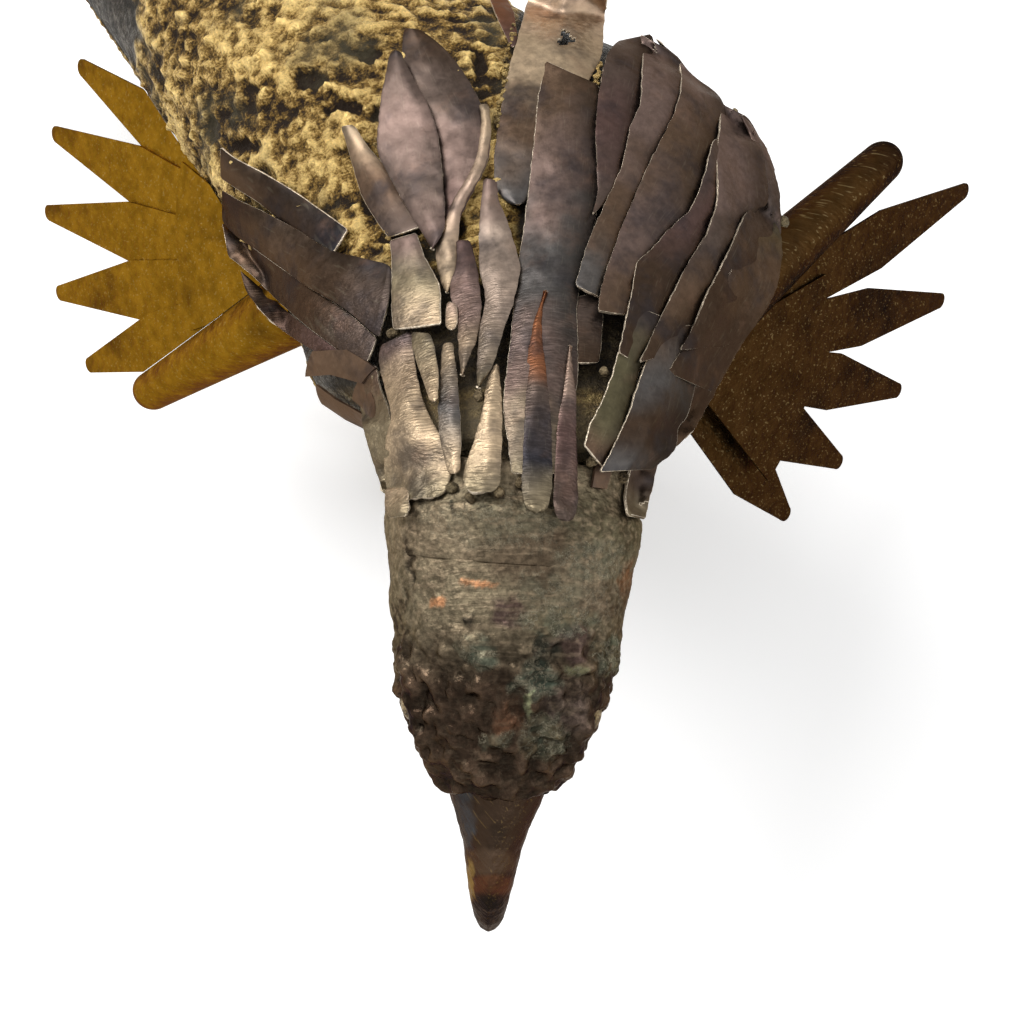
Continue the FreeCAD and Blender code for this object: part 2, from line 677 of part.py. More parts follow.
class WingPlace:
    """Where a wing stands: its fan's centre, spread, hanging and outward directions."""

    def __init__(self, hand, spread, facing):
        self.hand = hand
        self.facing = unit(facing)
        self.spread = unit(spread - self.facing * spread.dot(self.facing))
        self.hang = self.spread.cross(self.facing)
        root = Vector(*(size(f"{hand}_wing_{letter}") for letter in "xyz"))
        self.centre = (root - self.spread * size(f"{hand}_fan_inset")
                       + self.hang * size(f"{hand}_fan_drop"))

    def direction(self, angle):
        turn = math.radians(angle)
        return self.spread * math.cos(turn) + self.hang * math.sin(turn)

    def placement(self, angle, lift):
        """A frame at the fan's centre with X along a feather and Z out of the wing."""
        along = self.direction(angle)
        turn = rotation(along, self.facing.cross(along))
        return FreeCAD.Placement(self.centre + self.facing * lift, turn)


def make_wing(place, fan_angles, arm_angle, body_tool):
    hand = place.hand
    step = size("blade_gauge") + size("seat_gap")
    arm, arm_tool = (wing_arm(f"{hand}_wing_arm{suffix}", place, arm_angle, clearance)
                     for suffix, clearance in (("", ""), ("_clear", " + seat_gap")))
    subparts[f"wing_arm_{hand}"] = cut(f"wing_arm_{hand}", arm, body_tool)
    for index, angle in enumerate(fan_angles):
        lift = step * index
        feather = blade(f"{hand}_blade_{index + 1}", f"{hand}_blade_length_{index + 1}",
                        ("blade_root_half_width", "blade_belly_half_width",
                         "blade_tip_half_width"), "blade_gauge", place.placement(angle, lift))
        label = f"primary_{hand}_{index + 1}"
        subparts[label] = cut(label, feather, body_tool, arm_tool)
    cover = doc.addObject("Part::Cylinder", f"{hand}_cover_disc")
    bind(cover, Radius="cover_reach", Height="blade_gauge")
    first, last = min(fan_angles), max(fan_angles)
    cover.Angle = last - first
    cover.Placement = place.placement(last, step * len(fan_angles))
    subparts[f"wing_cover_{hand}"] = cut(f"wing_cover_{hand}", cover, body_tool, arm_tool)


def wing_arm(label, place, angle, clearance):
    """The wing's arm: a rounded bar that narrows from the body to the wrist."""
    along = place.direction(angle)
    across = place.facing.cross(along)
    middle_lift = size("blade_gauge") * 3
    sections = []
    for index, (name, share) in enumerate((("root", 0), ("middle", 0.5), ("wrist", 1))):
        ring = doc.addObject("Part::Circle", f"{label}_{name}")
        bind(ring, Radius=f"wing_arm_{name}_radius{clearance}")
        centre = (place.centre + along * size("wing_arm_length") * share
                  + place.facing * middle_lift)
        ring.Placement = FreeCAD.Placement(centre, rotation(across, place.facing))
        sections.append(ring)
    rod = loft(f"{label}_rod", sections)
    wrist = doc.addObject("Part::Sphere", f"{label}_wrist_ball")
    bind(wrist, Radius=f"wing_arm_wrist_radius{clearance}")
    wrist.Placement = FreeCAD.Placement(sections[-1].Placement.Base, FreeCAD.Rotation())
    return combine("Part::Fuse", label, rod, wrist)


def make_tail(body_tool):
    """Five tail feathers in a fan, laid in steps from the middle outwards."""
    step = size("tail_gauge") + size("seat_gap")
    root = Vector(size("tail_fan_x"), size("tail_fan_y"), size("tail_fan_z"))
    side, back, upward = section_axes(SPINE_YAW_ANGLE, TAIL_DROP_ANGLE)
    feathers = []
    for index, angle in enumerate(TAIL_FAN_ANGLES):
        turn = math.radians(angle)
        along = back * math.cos(turn) + side * math.sin(turn)
        middle = len(TAIL_FAN_ANGLES) // 2
        lift = -step * (2 * abs(index - middle) - (1 if index > middle else 0))
        placement = FreeCAD.Placement(root + upward * lift,
                                      rotation(along, upward.cross(along)))
        feather = blade(f"tail_blade_{index + 1}", "tail_length",
                        ("tail_root_half_width", "tail_belly_half_width",
                         "tail_tip_half_width"), "tail_gauge", placement)
        feathers.append(cut(f"tail_feather_{index + 1}", feather, body_tool))
    subparts["tail_feathers"] = group("tail_feathers", feathers)


# Armature inside the shell: hub, bars, formers and the block that holds the legs

def make_armature():
    hub_centre = Vector(size("hub_x"), size("hub_y"), size("hub_z"))
    hub = doc.addObject("Part::Sphere", "hub_ball")
    bind(hub, Radius="hub_radius")
    hub.Placement = FreeCAD.Placement(hub_centre, FreeCAD.Rotation())
    reach = size("hub_radius") - size("hub_stub")
    head_end = head_place(size("head_former_reach") + size("former_gauge"), 0, 0)
    neck_way = unit(head_end - hub_centre)
    spine_way = section_axes(SPINE_YAW_ANGLE, 0)[1]
    neck_length = head_end.distanceToPoint(hub_centre) - reach
    ways = {"neck_bar": (neck_way, "neck_bar_length"), "spine_bar": (spine_way, "spine_length")}
    holes = []
    for label, (way, length) in ways.items():
        start = hub_centre + way * reach
        subparts[label] = bar(label, start, way, length, "bar_radius")
        holes.append(bar(f"{label}_bore", start - way * size("seat_gap"), way, "hub_radius",
                         "bar_radius + seat_gap"))
    subparts["armature_hub"] = cut("armature_hub", hub, *holes)
    return neck_way


def make_formers(neck_way):
    fit = size("core_wall") + size("seat_gap")
    cavity = core_solid("former_cavity", -fit)
    hub_centre = Vector(size("hub_x"), size("hub_y"), size("hub_z"))
    side, spine_way, up = section_axes(SPINE_YAW_ANGLE, 0)
    plates = []
    for name in ("front", "rear"):
        slab = doc.addObject("Part::Box", f"{name}_former_slab")
        bind(slab, Length="shoulder_half_width * 2", Width="former_gauge",
             Height="shoulder_half_width * 2")
        half = size("shoulder_half_width")
        corner = hub_centre + spine_way * size(f"{name}_former_reach") - side * half - up * half
        slab.Placement = FreeCAD.Placement(corner, FreeCAD.Rotation(up, SPINE_YAW_ANGLE))
        plates.append(combine("Part::Common", f"{name}_former_plate", cavity, slab))
    both = combine("Part::Fuse", "both_former_plates", plates[0], plates[1])
    bore = bar("former_bore", hub_centre, spine_way, "spine_length + hub_radius",
               "bar_radius + seat_gap")
    subparts["body_formers"] = cut("body_formers", both, bore)

    origin, side, forward, up = head_frame()
    fit = size("head_wall") + size("seat_gap")
    inner = head_solid("head_former_fit", -fit, 0, size("beak_seat"))
    slab = doc.addObject("Part::Cylinder", "head_former_slab")
    bind(slab, Radius="beak_seat", Height="former_gauge")
    slab.Placement = FreeCAD.Placement(head_place(size("head_former_reach"), 0, 0),
                                       FreeCAD.Rotation(Vector(0, 0, 1), forward))
    plate = combine("Part::Common", "head_former_plate", inner, slab)
    bore = bar("head_former_bore", hub_centre, neck_way, "neck_bar_length + hub_radius",
               "bar_radius + seat_gap")
    subparts["head_former"] = cut("head_former", plate, bore)


def make_legs(body_tool):
    rods, bores, lifts = [], [], []
    for hand, sign in (("left", 1), ("right", -1)):
        foot = Vector(size("leg_x") + sign * size("hip_half_spread"), size("leg_y"), 0)
        up = Vector(0, 0, 1)
        socket_z = size("foot_height") - size("foot_socket_depth")
        rod = doc.addObject("Part::Cylinder", f"leg_rod_{hand}")
        bind(rod, Radius="leg_rod_radius",
             Height="leg_rod_top - foot_height + foot_socket_depth")
        rod.Placement.Base = foot + up * socket_z
        bore = doc.addObject("Part::Cylinder", f"leg_bore_{hand}")
        bind(bore, Radius="leg_rod_radius + seat_gap",
             Height="leg_rod_top - foot_height + foot_socket_depth + seat_gap * 2")
        bore.Placement.Base = foot + up * (socket_z - size("seat_gap"))
        rods.append(rod)
        bores.append(bore)

        rings = []
        for name in ("knee", "thigh_middle", "thigh_top"):
            ring = doc.addObject("Part::Circle", f"{name}_ring_{hand}")
            bind(ring, Radius=f"{name}_radius")
            ring.Placement.Base = foot + up * size(f"{name}_z")
            rings.append(ring)
        thigh = loft(f"thigh_loft_{hand}", rings)
        subparts[f"thigh_{hand}"] = cut(f"thigh_{hand}", thigh, body_tool, bore)

        tarsus = doc.addObject("Part::Cone", f"tarsus_cone_{hand}")
        bind(tarsus, Radius1="tarsus_foot_radius", Radius2="tarsus_top_radius",
             Height="knee_z - foot_height - seat_gap * 2")
        tarsus.Placement.Base = foot + up * (size("foot_height") + size("seat_gap"))
        subparts[f"tarsus_{hand}"] = cut(f"tarsus_{hand}", tarsus, bore)
        make_foot(hand, foot, bore)
    block = doc.addObject("Part::Box", "hip_block_bar")
    bind(block, Length="hip_block_length", Width="hip_block_depth", Height="hip_block_height")
    top = size("hub_z") + size("bar_radius") * 2
    block.Placement.Base = Vector(size("leg_x") - size("hip_block_length") / 2,
                                  size("leg_y") - size("hip_block_depth") / 2,
                                  top - size("hip_block_height"))
    spine = bar("hip_spine_bore", Vector(size("hub_x"), size("hub_y"), size("hub_z")),
                section_axes(SPINE_YAW_ANGLE, 0)[1], "spine_length", "bar_radius + seat_gap")
    for bore in bores:
        lift = doc.addObject("Part::Cylinder", f"{bore.Label}_hip")
        bind(lift, Radius="leg_rod_radius + seat_gap", Height="leg_rod_top + seat_gap")
        lift.Placement.Base = Vector(bore.Placement.Base.x, bore.Placement.Base.y, 0)
        lifts.append(lift)
    subparts["leg_rods"] = group("leg_rods", rods)
    subparts["hip_block"] = cut("hip_block", block, spine, *lifts)
    return lifts


def make_foot(hand, foot, bore):
    """A pad with three toes forward and one back, cut flat underneath, and its talons."""
    up = Vector(0, 0, 1)
    pad = doc.addObject("Part::Cone", f"foot_pad_{hand}")
    bind(pad, Radius1="foot_radius", Radius2="tarsus_top_radius", Height="foot_height")
    pad.Placement.Base = foot
    solid = pad
    claws = []
    for index, angle in enumerate(TOE_ANGLES):
        length = "hind_toe_length" if abs(angle) > 90 else "toe_length"
        turn = math.radians(angle)
        way = Vector(math.sin(turn), -math.cos(turn), 0)
        toe = doc.addObject("Part::Cone", f"toe_{hand}_{index + 1}")
        bind(toe, Radius1="toe_root_radius", Radius2="toe_end_radius", Height=length)
        toe.Placement = FreeCAD.Placement(foot + up * size("toe_axis_z"),
                                          FreeCAD.Rotation(up, way))
        solid = combine("Part::Fuse", f"foot_with_toe_{hand}_{index + 1}", solid, toe)
        claws.append(talon(foot + up * size("toe_axis_z") + way * size(length), way))
    ground = doc.addObject("Part::Box", f"ground_{hand}")
    bind(ground, Length="toe_length * 4", Width="toe_length * 4", Height="toe_root_radius * 2")
    reach = size("toe_length") * 2
    ground.Placement.Base = foot + Vector(-reach, -reach, -size("toe_root_radius") * 2)
    subparts[f"foot_{hand}"] = cut(f"foot_{hand}", solid, ground, bore)
    talons = doc.addObject("Part::Feature", f"talons_{hand}")
    talons.Shape = Part.makeCompound(claws)
    subparts[f"talons_{hand}"] = talons


def talon(root, way):
    """A claw that rises a little from the toe's end and curves down to its point."""
    up = Vector(0, 0, 1)
    start = root + way * size("seat_gap")
    length, rise = size("talon_length"), size("talon_rise")
    shares = [(0, 0, 1), (0.35, 1, 0.85), (0.75, 0.3, 0.5), (1, -1, 0)]
    rings = []
    for reach, height, girth in shares:
        radius = size("talon_tip_radius") + girth * (size("talon_radius")
                                                     - size("talon_tip_radius"))
        centre = start + way * length * reach + up * rise * height
        rings.append(Part.Wire([Part.Circle(centre, way, radius).toShape()]))
    return Part.makeLoft(rings, True, True)


subparts = {}


def main():
    fill_sheet()
    make_head()
    core_outer = core_solid("core_outer", 0)
    core_inner = core_solid("core_inner", -size("core_wall"), size("core_wall"))
    body_tool = core_solid("core_clear", size("seat_gap"))
    neck_way = make_armature()
    make_formers(neck_way)
    leg_bores = make_legs(body_tool)
    subparts["body_shell"] = cut("body_shell", core_outer, core_inner, *leg_bores)
    make_wing(WingPlace("left", Vector(0.874, 0.485, 0), Vector(0.40, -0.72, 0.56)),
              LEFT_FAN_ANGLES, LEFT_ARM_ANGLE, body_tool)
    make_wing(WingPlace("right", Vector(-0.662, 0.304, -0.68), Vector(-0.744, -0.268, 0.61)),
              RIGHT_FAN_ANGLES, RIGHT_ARM_ANGLE, body_tool)
    make_tail(body_tool)
    doc.recompute()
    faces = sorted(core_outer.Shape.Faces, key=lambda face: face.Area)
    make_strips([face.Surface for face in faces[-4:]])
    doc.recompute()
    check_and_write()


def check_and_write():
    """Stop on any failed object, then write each sub-part's solid to its own file."""
    for obj in doc.Objects:
        if "Invalid" in obj.State or "Error" in obj.State:
            raise RuntimeError(f"{obj.Label} did not build: {obj.State}")
    shift = origin_shift()
    for label, obj in subparts.items():
        obj.Label = label
        obj.Placement = FreeCAD.Placement(shift, FreeCAD.Rotation()).multiply(obj.Placement)
    doc.recompute()
    os.makedirs("parts", exist_ok=True)
    for label, obj in subparts.items():
        shape = obj.Shape
        if shape.isNull() or not shape.isValid() or not shape.Solids:
            raise RuntimeError(f"{label} has no valid solid")
        shape.exportStep(os.path.join("parts", f"{label}.step"))
        print(label, len(shape.Solids), round(shape.Volume))


def origin_shift():
    """The move that puts the middle of the whole sculpture's footprint at the origin."""
    bounds = FreeCAD.BoundBox()
    for obj in subparts.values():
        bounds.add(obj.Shape.optimalBoundingBox(False, False))
    return Vector(-bounds.Center.x, -bounds.Center.y, -bounds.ZMin)


main()
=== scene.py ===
"""Dresses the bird sculpture of brazed bronze and torch-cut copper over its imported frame."""

from __future__ import annotations

import logging
import math
import random
from collections.abc import Sequence
from dataclasses import dataclass, field
from enum import Enum
from functools import cached_property

import bmesh
import bpy
import numpy as np
from mathutils import Matrix, Vector, noise
from mathutils.bvhtree import BVHTree


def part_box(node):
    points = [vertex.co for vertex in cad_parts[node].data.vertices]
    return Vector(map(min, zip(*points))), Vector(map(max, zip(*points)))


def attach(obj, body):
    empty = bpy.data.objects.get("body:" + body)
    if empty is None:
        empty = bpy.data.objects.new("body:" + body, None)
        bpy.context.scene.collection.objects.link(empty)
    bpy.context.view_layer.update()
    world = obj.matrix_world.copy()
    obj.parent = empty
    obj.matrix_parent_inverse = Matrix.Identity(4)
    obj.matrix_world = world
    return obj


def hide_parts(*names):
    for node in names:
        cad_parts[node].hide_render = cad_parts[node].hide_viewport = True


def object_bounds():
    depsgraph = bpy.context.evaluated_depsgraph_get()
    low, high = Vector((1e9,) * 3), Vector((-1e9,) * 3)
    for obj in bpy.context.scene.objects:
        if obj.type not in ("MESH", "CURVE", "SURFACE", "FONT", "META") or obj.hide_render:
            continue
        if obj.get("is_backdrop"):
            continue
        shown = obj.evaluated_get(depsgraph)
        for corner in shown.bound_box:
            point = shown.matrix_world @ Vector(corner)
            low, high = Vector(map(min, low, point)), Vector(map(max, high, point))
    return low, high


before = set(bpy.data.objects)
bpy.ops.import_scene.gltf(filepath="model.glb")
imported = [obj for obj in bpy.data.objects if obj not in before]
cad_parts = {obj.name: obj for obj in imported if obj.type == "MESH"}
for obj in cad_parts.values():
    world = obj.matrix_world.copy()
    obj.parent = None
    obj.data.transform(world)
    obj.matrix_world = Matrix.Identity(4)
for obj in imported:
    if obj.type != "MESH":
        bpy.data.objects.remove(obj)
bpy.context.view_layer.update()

MM = 0.001
SAME_PLACE = 0.01 * MM
LOG = logging.getLogger("bird")
BODY = "root"

Pixel = tuple[float, float]
Colour = tuple[float, float, float]
Place = tuple[float, float, float]
Row = tuple[float, float, float, float]


class Slot(Enum):
    """The record's material slots, named when each new piece is made."""

    BRAZE = "brazed_bronze"
    STRIP = "copper_strip"


class Tint(Enum):
    """Heat tints and patinas seen on the metal, as plain colours."""

    MAUVE = (0.135, 0.093, 0.078)
    ASH = (0.235, 0.180, 0.142)
    ROSE = (0.230, 0.128, 0.084)
    DUSK = (0.076, 0.055, 0.045)
    PLUM = (0.082, 0.050, 0.044)
    UMBER = (0.090, 0.057, 0.037)
    SLATE = (0.080, 0.074, 0.070)
    BLUE_BLACK = (0.022, 0.021, 0.025)
    STEEL_BLUE = (0.060, 0.065, 0.072)
    RUST = (0.180, 0.070, 0.032)
    SALMON = (0.480, 0.225, 0.105)
    PINK_BEIGE = (0.300, 0.215, 0.165)
    PALE_ROSE = (0.480, 0.330, 0.240)
    TAN = (0.350, 0.262, 0.170)
    KHAKI = (0.180, 0.145, 0.092)
    OLIVE = (0.090, 0.078, 0.044)
    GOLD = (0.330, 0.215, 0.080)
    STRAW = (0.600, 0.460, 0.240)
    CRUST = (0.430, 0.385, 0.270)
    VERDIGRIS = (0.066, 0.088, 0.064)
    LIME = (0.420, 0.430, 0.230)
    # Near-black of soot, also laid on as painted shade under the strips.
    SOOT_AND_SHADE = (0.012, 0.010, 0.008)
    CHOCOLATE = (0.045, 0.028, 0.018)


# ---------------------------------------------------------------- view and skin


@dataclass(frozen=True)
class PhotoView:
    """The photograph's view: where the camera stands and how a pixel meets the sculpture."""

    azimuth: float = math.radians(-20.0)
    elevation: float = math.radians(70.0)
    focal_pixels: float = 1050.0
    frame_pixels: float = 1024.0
    sensor_mm: float = 36.0
    place_mm: Place = (-89.41, -229.21, 588.50)
    leg_middle_mm: tuple[float, float] = (-14.0, 52.0)

    @cached_property
    def origin(self) -> Vector:
        """The maker's own origin, found from the two leg rods, in the row frame."""
        low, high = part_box("leg_rods")
        middle = (low + high) / 2
        return Vector((middle.x - self.leg_middle_mm[0] * MM,
                       middle.y - self.leg_middle_mm[1] * MM, 0.0))

    @cached_property
    def camera_place(self) -> Vector:
        """Where the camera stands, in metres."""
        return self.origin + Vector(self.place_mm) * MM

    @cached_property
    def right(self) -> Vector:
        """The picture's rightward direction."""
        return Vector((math.cos(self.azimuth), math.sin(self.azimuth), 0.0))

    @cached_property
    def back(self) -> Vector:
        """The direction from the sculpture to the camera."""
        level = math.cos(self.elevation)
        return Vector((math.sin(self.azimuth) * level, -math.cos(self.azimuth) * level,
                       math.sin(self.elevation)))

    @cached_property
    def up(self) -> Vector:
        """The picture's upward direction."""
        return self.back.cross(self.right)

    def ray(self, pixel: Pixel) -> Vector:
        """The way through a pixel, one unit deep."""
        half = self.frame_pixels / 2
        return (self.right * ((pixel[0] - half) / self.focal_pixels)
                + self.up * ((half - pixel[1]) / self.focal_pixels) - self.back)

    def pixel(self, point: Vector) -> tuple[float, float, float]:
        """The pixel and the depth of a point.

        Args:
            point: a place in the row frame.

        Returns:
            The pixel's x and y, and the depth in metres.
        """
        offset = point - self.camera_place
        depth = -offset.dot(self.back)
        half = self.frame_pixels / 2
        return (half + self.focal_pixels * offset.dot(self.right) / depth,
                half - self.focal_pixels * offset.dot(self.up) / depth, depth)

    def make_camera(self) -> None:
        """Put the camera where the photograph was taken from."""
        camera = bpy.data.cameras.new("photo_camera")
        camera.sensor_width = self.sensor_mm
        camera.lens = self.focal_pixels * self.sensor_mm / self.frame_pixels
        camera.clip_start = 0.01
        holder = bpy.data.objects.new("photo_camera", camera)
        turn = Matrix((self.right, self.up, self.back)).transposed().to_4x4()
        holder.matrix_world = Matrix.Translation(self.camera_place) @ turn
        bpy.context.scene.collection.objects.link(holder)
        bpy.context.scene.camera = holder


class Skin:
    """The brazed skin of body and head, which carries all the plumage."""

    near_depth = 0.24
    far_depth = 0.72
    search_step = 0.008
    search_rounds = 4

    def __init__(self, view: PhotoView, nodes: list[str],
                 pieces: tuple[bpy.types.Object, ...] = ()) -> None:
        """Merge the named shells into one search tree.

        Args:
            view: the photograph's view.
            nodes: the CAD nodes that make the skin.
            pieces: finished pieces that lie on it.
        """
        self.view = view
        self.eye = view.camera_place
        work = bmesh.new()
        for name in nodes:
            work.from_mesh(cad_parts[name].data)
        for piece in pieces:
            work.from_mesh(piece.data)
        bmesh.ops.remove_doubles(work, verts=work.verts, dist=SAME_PLACE)
        self.tree = BVHTree.FromBMesh(work)
        work.free()
        self.known: dict[tuple[int, int], tuple[float, float]] = {}

    def depth(self, pixel: Pixel) -> tuple[float, float]:
        """How deep the skin lies under a pixel.

        Args:
            pixel: a place in the picture.

        Returns:
            The depth in metres, and how squarely the skin faces the camera there. Beside
            the skin it is the depth at which the sight line passes nearest.
        """
        key = (round(pixel[0] * 2), round(pixel[1] * 2))
        if key not in self.known:
            self.known[key] = self._measure((key[0] / 2, key[1] / 2))
        return self.known[key]

    def _measure(self, pixel: Pixel) -> tuple[float, float]:
        """Cast one sight line, or search along it where it misses."""
        way = self.view.ray(pixel)
        hit, normal, _, distance = self.tree.ray_cast(self.eye, way, 2.0)
        if hit is not None:
            return distance / way.length, abs(normal.dot(way.normalized()))
        low, high, step = self.near_depth, self.far_depth, self.search_step
        best = low
        for _ in range(self.search_rounds):
            best = min(np.arange(low, high, step), key=lambda d: self._miss(way, d))
            low, high, step = best - step, best + step, step / 5
        return float(best), 0.0

    def _miss(self, way: Vector, depth: float) -> float:
        """How far a point of a sight line is from the skin."""
        return self.tree.find_nearest(self.eye + way * float(depth))[3]


# ---------------------------------------------------------------- node helpers


class Board:
    """Lays and joins the nodes of one tree."""

    def __init__(self, tree: bpy.types.NodeTree) -> None:
        """Take the tree that the nodes go on."""
        self.tree = tree

    def node(self, kind: str, settings: dict | None = None, **inputs: object) -> bpy.types.Node:
        """Add a node.

        Args:
            kind: the node's type.
            settings: properties of the node itself.
            inputs: sockets by name with underscores for spaces, each a value or a socket.

        Returns:
            The new node.
        """
        made = self.tree.nodes.new(kind)
        for name, value in (settings or {}).items():
            setattr(made, name, value)
        for name, value in inputs.items():
            self.feed(made.inputs[name.replace("_", " ")], value)
        return made

    def feed(self, socket: bpy.types.NodeSocket, value: object) -> None:
        """Give a socket a link or a plain value."""
        if isinstance(value, bpy.types.NodeSocket):
            self.tree.links.new(value, socket)
        elif isinstance(value, (tuple, list)) and socket.type == "RGBA" and len(value) == 3:
            socket.default_value = (*value, 1.0)
        else:
            socket.default_value = value

    def sums(self, operation: str, *values: object, clamp: bool = False) -> bpy.types.NodeSocket:
        """One step of reckoning with one or two values."""
        made = self.tree.nodes.new("ShaderNodeMath")
        made.operation, made.use_clamp = operation, clamp
        for socket, value in zip(made.inputs, values):
            self.feed(socket, value)
        return made.outputs[0]

    def times(self, first: object, second: object) -> bpy.types.NodeSocket:
        """One value times another."""
        return self.sums("MULTIPLY", first, second)

    def plus(self, first: object, second: object) -> bpy.types.NodeSocket:
        """One value and another."""
        return self.sums("ADD", first, second)

    def minus(self, first: object, second: object) -> bpy.types.NodeSocket:
        """One value less another."""
        return self.sums("SUBTRACT", first, second)

    def blend(self, share: object, under: object, over: object) -> bpy.types.NodeSocket:
        """One colour laid over another by a share."""
        made = self.node("ShaderNodeMix", {"data_type": "RGBA"})
        for socket, value in zip((0, 6, 7), (share, under, over)):
            self.feed(made.inputs[socket], value)
        return made.outputs[2]

    def toned(self, colour: object, value: object) -> bpy.types.NodeSocket:
        """A colour made lighter or darker by a factor."""
        return self.node("ShaderNodeHueSaturation", Color=colour, Value=value).outputs[0]

    def place(self) -> bpy.types.NodeSocket:
        """The place on the piece, in metres."""
        return self.node("ShaderNodeTexCoord").outputs["Object"]

    def painted(self, name: str, output: str = "Fac") -> bpy.types.NodeSocket:
        """A value or colour that the mesh itself carries."""
        return self.node("ShaderNodeAttribute", {"attribute_name": name}).outputs[output]

    def span(self, value: object, low: object, high: object, to_low: float = 0.0,
             to_high: float = 1.0) -> bpy.types.NodeSocket:
        """A value's range stretched smoothly to another range."""
        made = self.node("ShaderNodeMapRange", {"interpolation_type": "SMOOTHSTEP"}, Value=value)
        for name, part in (("From Min", low), ("From Max", high), ("To Min", to_low),
                           ("To Max", to_high)):
            self.feed(made.inputs[name], part)
        return made.outputs[0]

    def noise(self, place: object, scale: float, detail: float = 3.0,
              roughness: float = 0.55) -> bpy.types.NodeSocket:
        """Cloudy noise over a place."""
        made = self.node("ShaderNodeTexNoise", Vector=place, Scale=scale, Detail=detail,
                         Roughness=roughness)
        return made.outputs["Fac"]

    def mapped(self, place: object, stretch: float = 1.0, turn: float = 0.0,
               shift: Place = (0.0, 0.0, 0.0)) -> bpy.types.NodeSocket:
        """A place stretched along x, turned about z by an angle and moved."""
        made = self.node("ShaderNodeMapping", Vector=place, Location=shift,
                         Rotation=(0.0, 0.0, turn), Scale=(stretch, 1.0, 1.0))
        return made.outputs[0]

    def ramp(self, value: object, stops: list[tuple[float, Colour]]) -> bpy.types.NodeSocket:
        """Colours along a value."""
        made = self.tree.nodes.new("ShaderNodeValToRGB")
        while len(made.color_ramp.elements) < len(stops):
            made.color_ramp.elements.new(1.0)
        for element, (place, colour) in zip(made.color_ramp.elements, stops):
            element.position, element.color = place, (*colour, 1.0)
        self.feed(made.inputs[0], value)
        return made.outputs[0]


